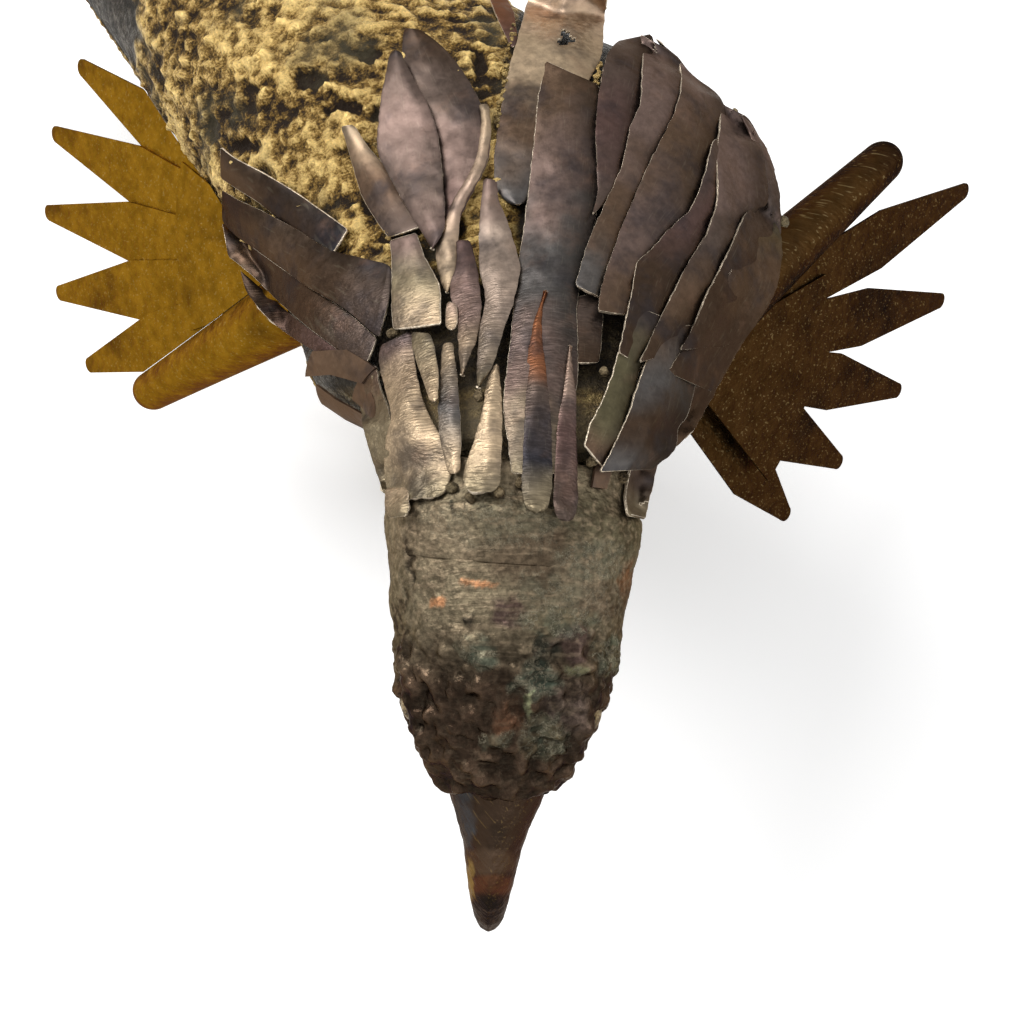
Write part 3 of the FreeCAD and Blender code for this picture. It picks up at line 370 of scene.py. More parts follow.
class Effects:
    """The shader node groups that several finishes share."""

    soft_below = 0.10
    soft_above = 0.14
    mottle_finer = 7.0
    waver_scale = 45.0
    waver_reach = 0.003
    line_stretch = 0.04
    streak_stretch = 0.06
    streak_turn = 0.5
    streak_finer = 2.4

    def __init__(self) -> None:
        """Build each group once."""
        self._cloud_group = self._clouds()
        self._line_group = self._lines()
        self._grain_group = self._grains()

    @staticmethod
    def _group(name: str, inputs: dict[str, tuple[str, object]],
               outputs: dict[str, str]) -> tuple[bpy.types.NodeTree, Board, object, object]:
        """Start a group with named sockets.

        Args:
            name: the group's name.
            inputs: each input's socket type and value.
            outputs: each output's socket type.

        Returns:
            The tree, its board, and its input and output nodes.
        """
        tree = bpy.data.node_groups.new(name, "ShaderNodeTree")
        for label, (kind, value) in inputs.items():
            socket = tree.interface.new_socket(name=label, in_out="INPUT", socket_type=kind)
            if value is not None:
                socket.default_value = value
        for label, kind in outputs.items():
            tree.interface.new_socket(name=label, in_out="OUTPUT", socket_type=kind)
        board = Board(tree)
        return tree, board, board.node("NodeGroupInput"), board.node("NodeGroupOutput")

    def _clouds(self) -> bpy.types.NodeTree:
        """Heat tint in soft clouds, with a finer mottle inside them."""
        tree, board, given, out = self._group(
            "heat clouds", {"Place": ("NodeSocketVector", None),
                            "Scale": ("NodeSocketFloat", 60.0),
                            "Cover": ("NodeSocketFloat", 0.5)},
            {"Mask": "NodeSocketFloat", "Mottle": "NodeSocketFloat"})
        big = board.noise(given.outputs["Place"], given.outputs["Scale"], 4.0, 0.6)
        edge = board.minus(1.0, given.outputs["Cover"])
        low = board.minus(edge, self.soft_below)
        high = board.plus(edge, self.soft_above)
        board.feed(out.inputs["Mask"], board.span(big, low, high))
        fine = board.times(given.outputs["Scale"], self.mottle_finer)
        board.feed(out.inputs["Mottle"], board.noise(given.outputs["Place"], fine, 5.0, 0.7))
        return tree

    def _lines(self) -> bpy.types.NodeTree:
        """Grinding and wire-brush lines that run along the place's x direction."""
        tree, board, given, out = self._group(
            "grinding lines", {"Place": ("NodeSocketVector", None),
                               "Spacing": ("NodeSocketFloat", 700.0)},
            {"Lines": "NodeSocketFloat", "Scratch": "NodeSocketFloat"})
        waver = board.node("ShaderNodeTexNoise", Vector=given.outputs["Place"],
                           Scale=self.waver_scale)
        moved = board.node("ShaderNodeVectorMath", {"operation": "MULTIPLY_ADD"})
        board.feed(moved.inputs[0], waver.outputs["Color"])
        board.feed(moved.inputs[1], (self.waver_reach,) * 3)
        board.feed(moved.inputs[2], given.outputs["Place"])
        thin = board.mapped(moved.outputs[0], self.line_stretch)
        lines = board.noise(thin, given.outputs["Spacing"], 2.0, 0.5)
        board.feed(out.inputs["Lines"], lines)
        finer = board.times(given.outputs["Spacing"], self.streak_finer)
        streak = board.noise(board.mapped(moved.outputs[0], self.streak_stretch,
                                          self.streak_turn), finer, 1.0, 0.4)
        board.feed(out.inputs["Scratch"], board.span(streak, 0.63, 0.72))
        return tree

    def _grains(self) -> bpy.types.NodeTree:
        """Small pits and grains of brazing metal."""
        tree, board, given, out = self._group(
            "braze grain", {"Place": ("NodeSocketVector", None),
                            "Scale": ("NodeSocketFloat", 500.0)},
            {"Grain": "NodeSocketFloat", "Pit": "NodeSocketFloat"})
        cells = board.node("ShaderNodeTexVoronoi", Vector=given.outputs["Place"],
                           Scale=given.outputs["Scale"])
        soft = board.noise(given.outputs["Place"], given.outputs["Scale"], 4.0, 0.7)
        board.feed(out.inputs["Grain"], board.plus(cells.outputs["Distance"], soft))
        board.feed(out.inputs["Pit"], board.span(cells.outputs["Distance"], 0.30, 0.08))
        return tree

    @staticmethod
    def _put(board: Board, group: bpy.types.NodeTree,
             **inputs: object) -> list[bpy.types.NodeSocket]:
        """Put a group on a board and give it its values.

        Args:
            board: the material's board.
            group: the shared effect.
            inputs: the group's own values.

        Returns:
            The group's outputs.
        """
        made = board.node("ShaderNodeGroup", {"node_tree": group}, **inputs)
        return list(made.outputs)

    def clouds(self, board: Board, place: object, scale: float,
               cover: float) -> list[bpy.types.NodeSocket]:
        """The mask and the mottle of heat clouds over a share of the surface."""
        return self._put(board, self._cloud_group, Place=place, Scale=scale, Cover=cover)

    def lines(self, board: Board, place: object, spacing: float) -> list[bpy.types.NodeSocket]:
        """The lines and the single scratches of grinding."""
        return self._put(board, self._line_group, Place=place, Spacing=spacing)

    def grains(self, board: Board, place: object, scale: float) -> list[bpy.types.NodeSocket]:
        """The grain and the pits of brazing metal."""
        return self._put(board, self._grain_group, Place=place, Scale=scale)


# ---------------------------------------------------------------- finishes


BRUSH_TURN = math.radians(20.0)
"""The head's and collar's brush lines run across the neck, at this angle to the x direction."""


def new_material(name: str) -> tuple[bpy.types.Material, Board, bpy.types.Node]:
    """Start a material with one principled surface.

    Args:
        name: the finish's name.

    Returns:
        The material, its board and its surface node.
    """
    material = bpy.data.materials.new(name)
    material.use_nodes = True
    surface = material.node_tree.nodes["Principled BSDF"]
    return material, Board(material.node_tree), surface


def set_metal(surface: bpy.types.Node, metallic: float, edge: Colour | None = None) -> None:
    """Make a surface metal, with a colour for what it mirrors at flat angles."""
    surface.inputs["Metallic"].default_value = metallic
    if edge:
        surface.inputs["Specular Tint"].default_value = (*edge, 1.0)


def lay_bump(board: Board, surface: bpy.types.Node, height: object, depth: float) -> None:
    """Feed a height to the surface as a bump of a depth in metres."""
    bump = board.node("ShaderNodeBump", Height=height, Distance=depth)
    board.feed(surface.inputs["Normal"], bump.outputs[0])


@dataclass(frozen=True)
class StripFinish:
    """Torch-cut sheet: a heat tint with clouds, a dull scale and brush lines."""

    name: str
    tint: Colour | None = None
    lighter_cloud: float = 1.7
    cloud_cover: float = 0.44
    dark_share: float = 0.66
    warm_share: float = 0.20
    warm_shift: Place = (0.3, 0.1, 0.7)
    scratch_share: float = 0.05
    brushed_share: float = 0.46
    brushed_lighter: float = 1.9
    metallic: float = 0.86
    edge: Colour = (0.50, 0.42, 0.36)
    roughness: float = 0.40
    bump: float = 0.00024

    def build(self, effects: Effects) -> bpy.types.Material:
        """Make the material.

        Args:
            effects: the shared groups.

        Returns:
            A material that reads the piece's own tint, or its one tint.
        """
        material, board, surface = new_material(self.name)
        place = board.place()
        if self.tint is None:
            # The tint attribute carries painted shade on the covered side of tucked strips.
            base = board.painted("tint", "Color")
            along = board.node("ShaderNodeUVMap", {"uv_map": "sheet"}).outputs[0]
        else:
            lighter = tuple(min(1.0, part * self.lighter_cloud) for part in self.tint)
            base = board.blend(board.noise(place, 35.0), self.tint, lighter)
            along = board.mapped(place, turn=math.radians(90))
        dark, mottle = effects.clouds(board, place, 48.0, self.cloud_cover)
        warm, _ = effects.clouds(board, board.mapped(place, shift=self.warm_shift), 75.0, 0.36)
        _, scratch = effects.lines(board, along, 900.0)
        brush, _ = effects.lines(board, board.mapped(place, turn=BRUSH_TURN), 1300.0)
        ground = board.painted("brushed")
        colour = board.blend(board.times(dark, self.dark_share), base, Tint.BLUE_BLACK.value)
        colour = board.blend(board.times(warm, self.warm_share), colour, Tint.ROSE.value)
        colour = board.blend(board.times(scratch, self.scratch_share), colour,
                             Tint.CRUST.value)
        bare = board.times(board.span(brush, 0.46, 0.66),
                           board.times(ground, self.brushed_share))
        colour = board.blend(bare, colour, board.toned(colour, self.brushed_lighter))
        board.feed(surface.inputs["Base Color"],
                   board.toned(colour, board.span(mottle, 0.30, 0.72, 0.80, 1.16)))
        set_metal(surface, self.metallic, self.edge)
        board.feed(surface.inputs["Roughness"],
                   board.span(mottle, 0.25, 0.75, self.roughness - 0.10,
                              self.roughness + 0.16))
        rough = board.plus(board.times(mottle, 0.5),
                           board.times(board.times(ground, 1.6), brush))
        lay_bump(board, surface, rough, self.bump)
        return material


@dataclass(frozen=True)
class CutEdgeFinish:
    """The melted edge that the torch leaves: pale and ribbed, its pale colour partly a painted
    highlight along the strips' edges.
    """

    name: str = "torch cut edge"
    pale_and_highlight: Colour = (0.640, 0.540, 0.410)
    dull: Colour = (0.120, 0.085, 0.062)
    pit_share: float = 0.4
    metallic: float = 0.7
    bump: float = 0.0004

    def build(self, effects: Effects) -> bpy.types.Material:
        """Make the material."""
        material, board, surface = new_material(self.name)
        place = board.place()
        mask, mottle = effects.clouds(board, place, 55.0, 0.34)
        grain, pit = effects.grains(board, place, 900.0)
        # The edge's pale colour is partly the torch-bared metal and partly a painted highlight.
        colour = board.blend(mask, self.pale_and_highlight, self.dull)
        board.feed(surface.inputs["Base Color"],
                   board.blend(board.times(pit, self.pit_share), colour, Tint.UMBER.value))
        set_metal(surface, self.metallic)
        board.feed(surface.inputs["Roughness"], board.span(mottle, 0.2, 0.8, 0.28, 0.5))
        lay_bump(board, surface, grain, self.bump)
        return material


@dataclass(frozen=True)
class BrazedFinish:
    """Brazing metal built up by hand: pale gold on its peaks, fire-darkened in its hollows, and
    with painted shade where the strips cover it.
    """

    name: str = "brazed gold"
    hollow: Colour = (0.018, 0.010, 0.005)
    middle: Colour = (0.195, 0.112, 0.024)
    peak: Colour = (0.860, 0.620, 0.235)
    painted: bool = True
    dull_share: float = 0.55
    strip_shade_share: float = 0.92
    crusted_share: float = 0.8
    metallic: float = 0.75
    bump: float = 0.0011

    def build(self, effects: Effects) -> bpy.types.Material:
        """Make the material.

        Args:
            effects: the shared groups.

        Returns:
            A material that reads the relief, the painted shade under the strips and the crust
            that the mesh carries, or one that works out its own relief.
        """
        material, board, surface = new_material(self.name)
        place = board.place()
        grain, _ = effects.grains(board, place, 420.0)
        dull, _ = effects.clouds(board, place, 42.0, 0.42)
        worms = board.noise(board.mapped(place, 0.6, BRUSH_TURN), 290.0, 6.0, 0.78)
        fine = board.noise(place, 1100.0, 3.0, 0.6)
        height = board.painted("relief") if self.painted else board.noise(place, 160.0, 6.0, 0.7)
        broken = board.plus(board.times(board.minus(worms, 0.5), 1.5),
                            board.times(board.minus(fine, 0.5), 0.7))
        spread = board.plus(board.times(height, 0.85), board.plus(broken, 0.06))
        half = tuple((low + high) / 2 for low, high in zip(self.middle, self.peak))
        colour = board.ramp(spread, [(0.24, self.hollow), (0.46, self.middle), (0.66, half),
                                     (0.92, self.peak)])
        colour = board.blend(board.times(dull, self.dull_share), colour, Tint.OLIVE.value)
        if self.painted:
            # Painted shade: the skin under the strips is darkened towards near-black.
            strip_shade = board.span(board.painted("shade_under_strips"), 0.40, 0.80, 0.0, self.strip_shade_share)
            colour = board.blend(strip_shade, colour, Tint.SOOT_AND_SHADE.value)
            colour = board.blend(board.times(board.painted("crusted"), self.crusted_share),
                                 colour, Tint.KHAKI.value)
        board.feed(surface.inputs["Base Color"], colour)
        set_metal(surface, self.metallic)
        board.feed(surface.inputs["Roughness"], board.span(spread, 0.25, 0.8, 0.66, 0.30))
        lay_bump(board, surface, board.plus(broken, board.times(grain, 0.3)), self.bump)
        return material


@dataclass(frozen=True)
class SkullFinish:
    """The head's brazed and ground metal, with patina and crusts where they were seen."""

    name: str = "patinated skull"
    dark_share: float = 0.55
    ground_share: float = 0.38
    green_share: float = 0.85
    vein_share: float = 0.85
    stray_veins: float = 0.02
    metallic: float = 0.85
    edge: Colour = (0.45, 0.38, 0.30)
    wet_smoother: float = 0.30
    bump: float = 0.0006

    def build(self, effects: Effects) -> bpy.types.Material:
        """Make the material."""
        material, board, surface = new_material(self.name)
        place = board.place()
        # The tint attribute carries painted shade and highlight over the skull's lumps towards
        # the beak.
        base = board.painted("tint", "Color")
        wet, patina = board.painted("gloss"), board.painted("patina")
        lines, _ = effects.lines(board, board.mapped(place, turn=BRUSH_TURN), 620.0)
        dark, mottle = effects.clouds(board, place, 70.0, 0.45)
        grain, _ = effects.grains(board, place, 700.0)
        green, _ = effects.clouds(board, place, 190.0, 0.52)
        wander = board.noise(place, 150.0, 6.0, 0.72)
        vein = board.span(board.sums("ABSOLUTE", board.minus(wander, 0.5)), 0.030, 0.004)
        dry = board.minus(1.0, wet)
        colour = board.blend(board.times(dark, self.dark_share), base, Tint.CHOCOLATE.value)
        ground = board.times(board.span(lines, 0.46, 0.68), self.ground_share)
        colour = board.blend(board.times(ground, dry), colour, Tint.TAN.value)
        colour = board.blend(board.times(board.times(green, self.green_share), patina),
                             colour, Tint.VERDIGRIS.value)
        crusted = board.plus(self.stray_veins, board.times(patina, self.vein_share))
        crust = board.sums("MULTIPLY", vein, crusted, clamp=True)
        colour = board.blend(crust, colour, Tint.CRUST.value)
        board.feed(surface.inputs["Base Color"],
                   board.toned(colour, board.span(mottle, 0.30, 0.72, 0.46, 1.26)))
        set_metal(surface, self.metallic, self.edge)
        board.feed(surface.inputs["Metallic"],
                   board.minus(self.metallic, board.times(crust, 0.7)))
        worn = board.span(mottle, 0.2, 0.8, 0.42, 0.60)
        board.feed(surface.inputs["Roughness"],
                   board.minus(worn, board.times(wet, self.wet_smoother)))
        height = board.plus(board.times(lines, board.times(dry, 0.8)),
                            board.times(grain, 0.22))
        lay_bump(board, surface, board.plus(height, board.times(crust, 0.9)), self.bump)
        return material


@dataclass(frozen=True)
class FeatherFinish:
    """Brushed bronze sheet of the wings and the tail."""

    name: str = "brushed feather"
    bronze: Colour = (0.240, 0.125, 0.012)
    brown: Colour = (0.045, 0.022, 0.005)
    turn: float = 0.0
    scratch_share: float = 0.16
    metallic: float = 0.9
    edge: Colour = (0.30, 0.20, 0.06)
    mirror: float = 0.2
    bump: float = 0.0005

    def build(self, effects: Effects) -> bpy.types.Material:
        """Make the material."""
        material, board, surface = new_material(self.name)
        place = board.place()
        lines, scratch = effects.lines(board, board.mapped(place, turn=self.turn), 380.0)
        mask, mottle = effects.clouds(board, place, 18.0, 0.40)
        colour = board.blend(mask, self.bronze, self.brown)
        colour = board.blend(board.times(scratch, self.scratch_share), colour,
                             Tint.STRAW.value)
        board.feed(surface.inputs["Base Color"],
                   board.toned(colour, board.span(mottle, 0.3, 0.72, 0.75, 1.22)))
        set_metal(surface, self.metallic, self.edge)
        surface.inputs["Specular IOR Level"].default_value = self.mirror
        board.feed(surface.inputs["Roughness"], board.span(mottle, 0.2, 0.8, 0.30, 0.52))
        lay_bump(board, surface, board.plus(lines, board.times(mottle, 0.8)), self.bump)
        return material


@dataclass(frozen=True)
class BeakFinish:
    """Dark bronze horn with a blue bevel, an orange band and a black-green tip."""

    name: str = "dark beak"
    line_turn: float = math.radians(70.0)
    soot_and_shade_share: float = 0.45
    scratch_share: float = 0.22
    metallic: float = 0.88
    edge: Colour = (0.42, 0.33, 0.25)
    bump: float = 0.0004

    def build(self, effects: Effects) -> bpy.types.Material:
        """Make the material."""
        material, board, surface = new_material(self.name)
        place = board.place()
        lines, scratch = effects.lines(board, board.mapped(place, turn=self.line_turn), 620.0)
        mask, mottle = effects.clouds(board, place, 110.0, 0.45)
        colour = board.blend(board.times(mask, self.soot_and_shade_share),
                             board.painted("tint", "Color"), Tint.SOOT_AND_SHADE.value)
        board.feed(surface.inputs["Base Color"],
                   board.blend(board.times(scratch, self.scratch_share), colour,
                               Tint.GOLD.value))
        set_metal(surface, self.metallic, self.edge)
        board.feed(surface.inputs["Roughness"], board.span(mottle, 0.2, 0.8, 0.24, 0.42))
        lay_bump(board, surface, board.plus(lines, board.times(mottle, 0.6)), self.bump)
        return material


@dataclass(frozen=True)
class SteelFinish:
    """Mild steel of the armature: mill scale with rust spots."""

    name: str = "armature steel"
    scale: Colour = (0.16, 0.155, 0.15)
    metallic: float = 0.85
    bump: float = 0.0003

    def build(self, effects: Effects) -> bpy.types.Material:
        """Make the material."""
        material, board, surface = new_material(self.name)
        mask, mottle = effects.clouds(board, board.place(), 90.0, 0.35)
        board.feed(surface.inputs["Base Color"],
                   board.blend(mask, self.scale, Tint.RUST.value))
        set_metal(surface, self.metallic)
        board.feed(surface.inputs["Roughness"], board.span(mottle, 0.2, 0.8, 0.35, 0.6))
        lay_bump(board, surface, mottle, self.bump)
        return material


class Finishes:
    """Every material of the sculpture, built once."""

    def __init__(self) -> None:
        """Build the shared effects and then the finishes."""
        effects = Effects()
        self.strip = StripFinish("torch cut strip").build(effects)
        self.plain_strip = StripFinish("side strip", Tint.UMBER.value).build(effects)
        self.edge = CutEdgeFinish().build(effects)
        self.braze = BrazedFinish().build(effects)
        self.bead = BrazedFinish("braze bead", middle=(0.150, 0.110, 0.060),
                                 peak=(0.400, 0.310, 0.180), painted=False).build(effects)
        self.crumb = BrazedFinish("braze crumb", middle=(0.300, 0.200, 0.070),
                                  painted=False).build(effects)
        self.leg = BrazedFinish("brazed leg", middle=(0.20, 0.135, 0.060),
                                peak=(0.55, 0.42, 0.22), painted=False).build(effects)
        self.skull = SkullFinish().build(effects)
        self.feather = FeatherFinish().build(effects)
        # Painted shade: a darker copy of the feather finish for the left wing, which lies in
        # shadow.
        self.shaded_feather = FeatherFinish("dark feather", (0.050, 0.026, 0.009),
                                          (0.020, 0.011, 0.006), 0.6).build(effects)
        self.beak = BeakFinish().build(effects)
        self.steel = SteelFinish().build(effects)


# ---------------------------------------------------------------- mesh helpers


def placed_object(work: bmesh.types.BMesh, name: str) -> bpy.types.Object:
    """An object in the scene made of a bmesh, which is used up."""
    mesh = bpy.data.meshes.new(name)
    work.to_mesh(mesh)
    work.free()
    made = bpy.data.objects.new(name, mesh)
    bpy.context.scene.collection.objects.link(made)
    return made


def piece_from(work: bmesh.types.BMesh, name: str, slot: Slot,
               *materials: bpy.types.Material) -> bpy.types.Object:
    """Turn a finished bmesh into a piece that rides on the sculpture.

    Args:
        work: the mesh, in metres, in its place.
        name: the piece's name.
        slot: not used.
        materials: its finishes, in slot order.

    Returns:
        The piece.
    """
    piece = placed_object(work, name)
    for material in materials:
        piece.data.materials.append(material)
    piece.data.shade_smooth()
    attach(piece, BODY)
    return piece


def merged_copy(node: str) -> bmesh.types.BMesh:
    """A copy of a CAD node's triangles with their shared corners joined."""
    work = bmesh.new()
    work.from_mesh(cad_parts[node].data)
    bmesh.ops.remove_doubles(work, verts=work.verts, dist=SAME_PLACE)
    return work


def remeshed(work: bmesh.types.BMesh, voxel: float) -> bmesh.types.BMesh:
    """An even skin of small faces over a closed mesh.

    Args:
        work: the closed mesh, which is used up.
        voxel: the size of a face, in metres.

    Returns:
        The new mesh.
    """
    holder = placed_object(work, "raw")
    mesh = holder.data
    even = holder.modifiers.new("even", "REMESH")
    even.mode, even.voxel_size = "VOXEL", voxel
    graph = bpy.context.evaluated_depsgraph_get()
    result = bmesh.new()
    made = bpy.data.meshes.new_from_object(holder.evaluated_get(graph))
    result.from_mesh(made)
    bpy.data.objects.remove(holder)
    bpy.data.meshes.remove(mesh)
    bpy.data.meshes.remove(made)
    return result


def curve_value(values: list[float], place: float) -> float:
    """A value on a smooth curve through equally spaced values.

    Args:
        values: the values that the curve passes through.
        place: a fractional index.

    Returns:
        The value there.
    """
    last = len(values) - 1
    index = min(max(int(math.floor(place)), 0), max(last - 1, 0))
    share = place - index
    here, there = values[index], values[min(index + 1, last)]
    before = values[index - 1] if index > 0 else 2 * here - there
    after = values[index + 2] if index + 2 <= last else 2 * there - here
    return 0.5 * (2 * here + (there - before) * share
                  + (2 * before - 5 * here + 4 * there - after) * share ** 2
                  + (3 * here - before - 3 * there + after) * share ** 3)


def clamped(value: float) -> float:
    """A value kept between 0 and 1."""
    return min(1.0, max(0.0, value))


def spoke(side: Vector, up: Vector, turn: float) -> Vector:
    """The way outwards from a middle line, at an angle from the top."""
    return side * math.sin(turn) + up * math.cos(turn)


def lumps(point: Vector, size_mm: float, octaves: int = 3) -> float:
    """Noise between about -1 and 1, with lumps of a size in millimetres."""
    return noise.fractal(point / (size_mm * MM), 0.6, 2.0, octaves)


# ---------------------------------------------------------------- plumage


@dataclass(frozen=True)
class Ribbon:
    """One strip of torch-cut sheet, drawn by its two edges in the picture.

    Each row holds the left edge's x and y and the right edge's x and y, top row first.
    """

    name: str
    rows: tuple[Row, ...]
    lifts: tuple[float, float]
    tints: tuple[Tint, ...]
    stands_for: tuple[str, ...] = ()
    arch: float = 0.5
    hole: tuple[float, float, float] | None = None
    tuck: float = 0.0


@dataclass
class Plumage:
    """The copper strips of the neck and the mantle."""

    view: PhotoView
    skin: Skin
    finishes: Finishes
    spacing_pixels: float = 2.4
    layer: float = 1.25 * MM
    gauge: float = 0.95 * MM
    first_lift: float = 0.5 * MM
    jag_pixels: float = 1.0
    dent: float = 0.28 * MM
    smoothing: int = 14
    bevel: float = 0.36 * MM
    pixel_size: float = 0.36 * MM
    round_pixels: float = 2.5
    corner_pixels: float = 2.0
    jag_border: float = 5.0
    sway_size: float = 7.0
    tick_size: float = 3.4
    fold_size: float = 30.0
    wave_size: float = 12.0
    brushed_from: float = 255.0
    brushed_down: float = 70.0
    brushed_to: float = 620.0
    brushed_across: float = 60.0
    turned_away: float = 0.3
    least_facing: float = 0.45
    steepest: float = 1.6 * MM
    # Painted shade on the covered side of a tucked strip: its share, where it starts across the
    # strip and how far it fades in.
    soot_and_shade_share: float = 0.62
    tuck_shade_from: float = 0.45
    tuck_shade_over: float = 0.4
    ribbons: tuple[Ribbon, ...] = field(default_factory=lambda: RIBBONS)

    def build(self) -> None:
        """Make every strip and its modifiers."""
        for number, ribbon in enumerate(self.ribbons):
            piece = self._strip(ribbon, number)
            if ribbon.stands_for:
                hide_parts(*ribbon.stands_for)
            LOG.info("strip %s", ribbon.name)

    def _edges(self, ribbon: Ribbon, place: float) -> tuple[Pixel, Pixel]:
        """The left and right edge of a strip at a fractional row."""
        columns = list(zip(*ribbon.rows))
        left_x, left_y, right_x, right_y = (curve_value(list(column), place)
                                            for column in columns)
        wide = math.hypot(right_x - left_x, right_y - left_y) + 0.01
        more = 1.0 + ribbon.tuck / wide
        return (left_x, left_y), (left_x + (right_x - left_x) * more,
                                  left_y + (right_y - left_y) * more)

    @staticmethod
    def _row_places(rows: tuple[Row, ...], count: int) -> list[float]:
        """Fractional rows that lie evenly along the strip's middle line."""
        middles = [((a + c) / 2, (b + d) / 2) for a, b, c, d in rows]
        run = [0.0]
        for (x, y), (p, q) in zip(middles, middles[1:]):
            run.append(run[-1] + math.hypot(p - x, q - y))
        return [float(np.interp(run[-1] * k / (count - 1), run, range(len(run))))
                for k in range(count)]

    def _strip(self, ribbon: Ribbon, number: int) -> bpy.types.Object:
        """Make one strip.

        Args:
            ribbon: its drawing.
            number: its place in the list, which seeds its dents.

        Returns:
            The finished piece.
        """
        rows = ribbon.rows
        length = sum(math.hypot((a[0] + a[2] - b[0] - b[2]) / 2, (a[1] + a[3] - b[1] - b[3]) / 2)
                     for a, b in zip(rows, rows[1:]))
        width = max(math.hypot(row[2] - row[0], row[3] - row[1]) for row in rows)
        down = max(8, round(length / self.spacing_pixels))
        across = max(6, round(width / self.spacing_pixels))
        places = self._row_places(rows, down + 1)
        pixels = np.zeros((down + 1, across + 1, 2))
        depths = np.zeros((down + 1, across + 1))
        facing = np.zeros((down + 1, across + 1))
        for j, place in enumerate(places):
            left, right = self._edges(ribbon, place)
            wide = math.hypot(right[0] - left[0], right[1] - left[1]) + 0.01
            end = min(j, down - j) * length / down
            round_off = 1.0 - min(1.0, end / self.round_pixels)
            drawn_in = 1.0 - math.sqrt(max(0.0, 1.0 - round_off ** 2))
            inset = drawn_in * min(self.corner_pixels, wide / 4) / wide
            for i in range(across + 1):
                share = inset + (1 - 2 * inset) * i / across
                x = left[0] + (right[0] - left[0]) * share
                y = left[1] + (right[1] - left[1]) * share
                edge = 1.0 - min(1.0, min(i, across - i) * wide / across / self.jag_border)
                sway = self._waver(x, y, self.sway_size, number * 3.1)
                tick = self._waver(x, y, self.tick_size, number * 5.7)
                jag = (sway * 0.9 + tick * 0.3) * self.jag_pixels * edge * min(1.0, wide / 12)
                pixels[j, i] = (x + jag, y + jag * 0.5)
                depths[j, i], facing[j, i] = self.skin.depth((x + jag, y + jag * 0.5))
        facing = np.minimum(1.0, self._smoothed(facing, 5))
        self._carry_on(depths, facing)
        sheet = self._smoothed(depths, self.smoothing)
        short = np.maximum(0.0, sheet - depths)
        for _ in range(self.smoothing):
            short = np.maximum(short, self._smoothed(short, 1))
        lift = self._lift(ribbon, number, pixels) / np.maximum(facing, self.least_facing)
        return self._finish_strip(ribbon, pixels, sheet - short - lift)

    @staticmethod
    def _waver(x: float, y: float, size: float, seed: float) -> float:
        """Noise over the picture, of a size in pixels."""
        return noise.noise(Vector((x / size, y / size, seed)))

    def _carry_on(self, depths: np.ndarray, facing: np.ndarray) -> None:
        """Let a row's depths run on evenly where the skin turns away from the eye.

        Args:
            depths: the depths to change, by row and column.
            facing: how squarely the skin faces the eye at each of them.
        """
        for row, turned in zip(depths, facing):
            good = np.flatnonzero(turned >= self.turned_away)
            if len(good) < 3:
                continue
            for edge, step in ((good[-1], 1), (good[0], -1)):
                rise = row[edge] - row[edge - 2 * step]
                slope = float(np.clip(rise, -self.steepest, self.steepest)) / 2
                place = edge + step
                while 0 <= place < len(row):
                    row[place] = row[place - step] + slope
                    turned[place] = self.turned_away
                    place += step

    @staticmethod
    def _smoothed(depths: np.ndarray, rounds: int) -> np.ndarray:
        """The sheet's own depth: stiffer than the skin below it."""
        sheet = depths.copy()
        for _ in range(rounds):
            padded = np.pad(sheet, 1, mode="reflect", reflect_type="odd")
            sheet = (padded[:-2, 1:-1] + padded[2:, 1:-1] + padded[1:-1, :-2]
                     + padded[1:-1, 2:] + 2 * sheet) / 6
        return sheet

    def _lift(self, ribbon: Ribbon, number: int, pixels: np.ndarray) -> np.ndarray:
        """How far each point of a strip stands off the skin, in metres."""
        down, across = pixels.shape[0] - 1, pixels.shape[1] - 1
        share = np.linspace(0, 1, across + 1)[None, :]
        lift = self.first_lift + self.layer * (ribbon.lifts[0] * (1 - share)
                                               + ribbon.lifts[1] * share)
        lift = lift + ribbon.arch * MM * 4 * share * (1 - share)
        rough = np.zeros((down + 1, across + 1))
        for j in range(down + 1):
            for i in range(across + 1):
                x, y = pixels[j, i]
                rough[j, i] = (self._waver(x, y, self.fold_size, number * 1.7) * 3.0
                               + self._waver(x, y, self.wave_size, number * 2.3) * 0.9)
        return lift + rough * self.dent

    def _finish_strip(self, ribbon: Ribbon, pixels: np.ndarray,
                      depths: np.ndarray) -> bpy.types.Object:
        """Lay a grid of faces on the worked-out places and give it its wall and edges."""
        down, across = depths.shape[0] - 1, depths.shape[1] - 1
        work = bmesh.new()
        bmesh.ops.create_grid(work, x_segments=across, y_segments=down, size=1.0)
        sheet_map = work.loops.layers.uv.new("sheet")
        tint_layer = work.verts.layers.float_color.new("tint")
        brushed = work.verts.layers.float.new("brushed")
        eye = self.view.camera_place
        shares = {}
        for vert in work.verts:
            i = round((vert.co.x + 1) / 2 * across)
            j = down - round((vert.co.y + 1) / 2 * down)
            shares[vert] = (i / across, j / down)
            x, y = pixels[j, i]
            vert.co = eye + self.view.ray((x, y)) * float(depths[j, i])
            colour = Vector(self._tint(ribbon, j / down, vert.co))
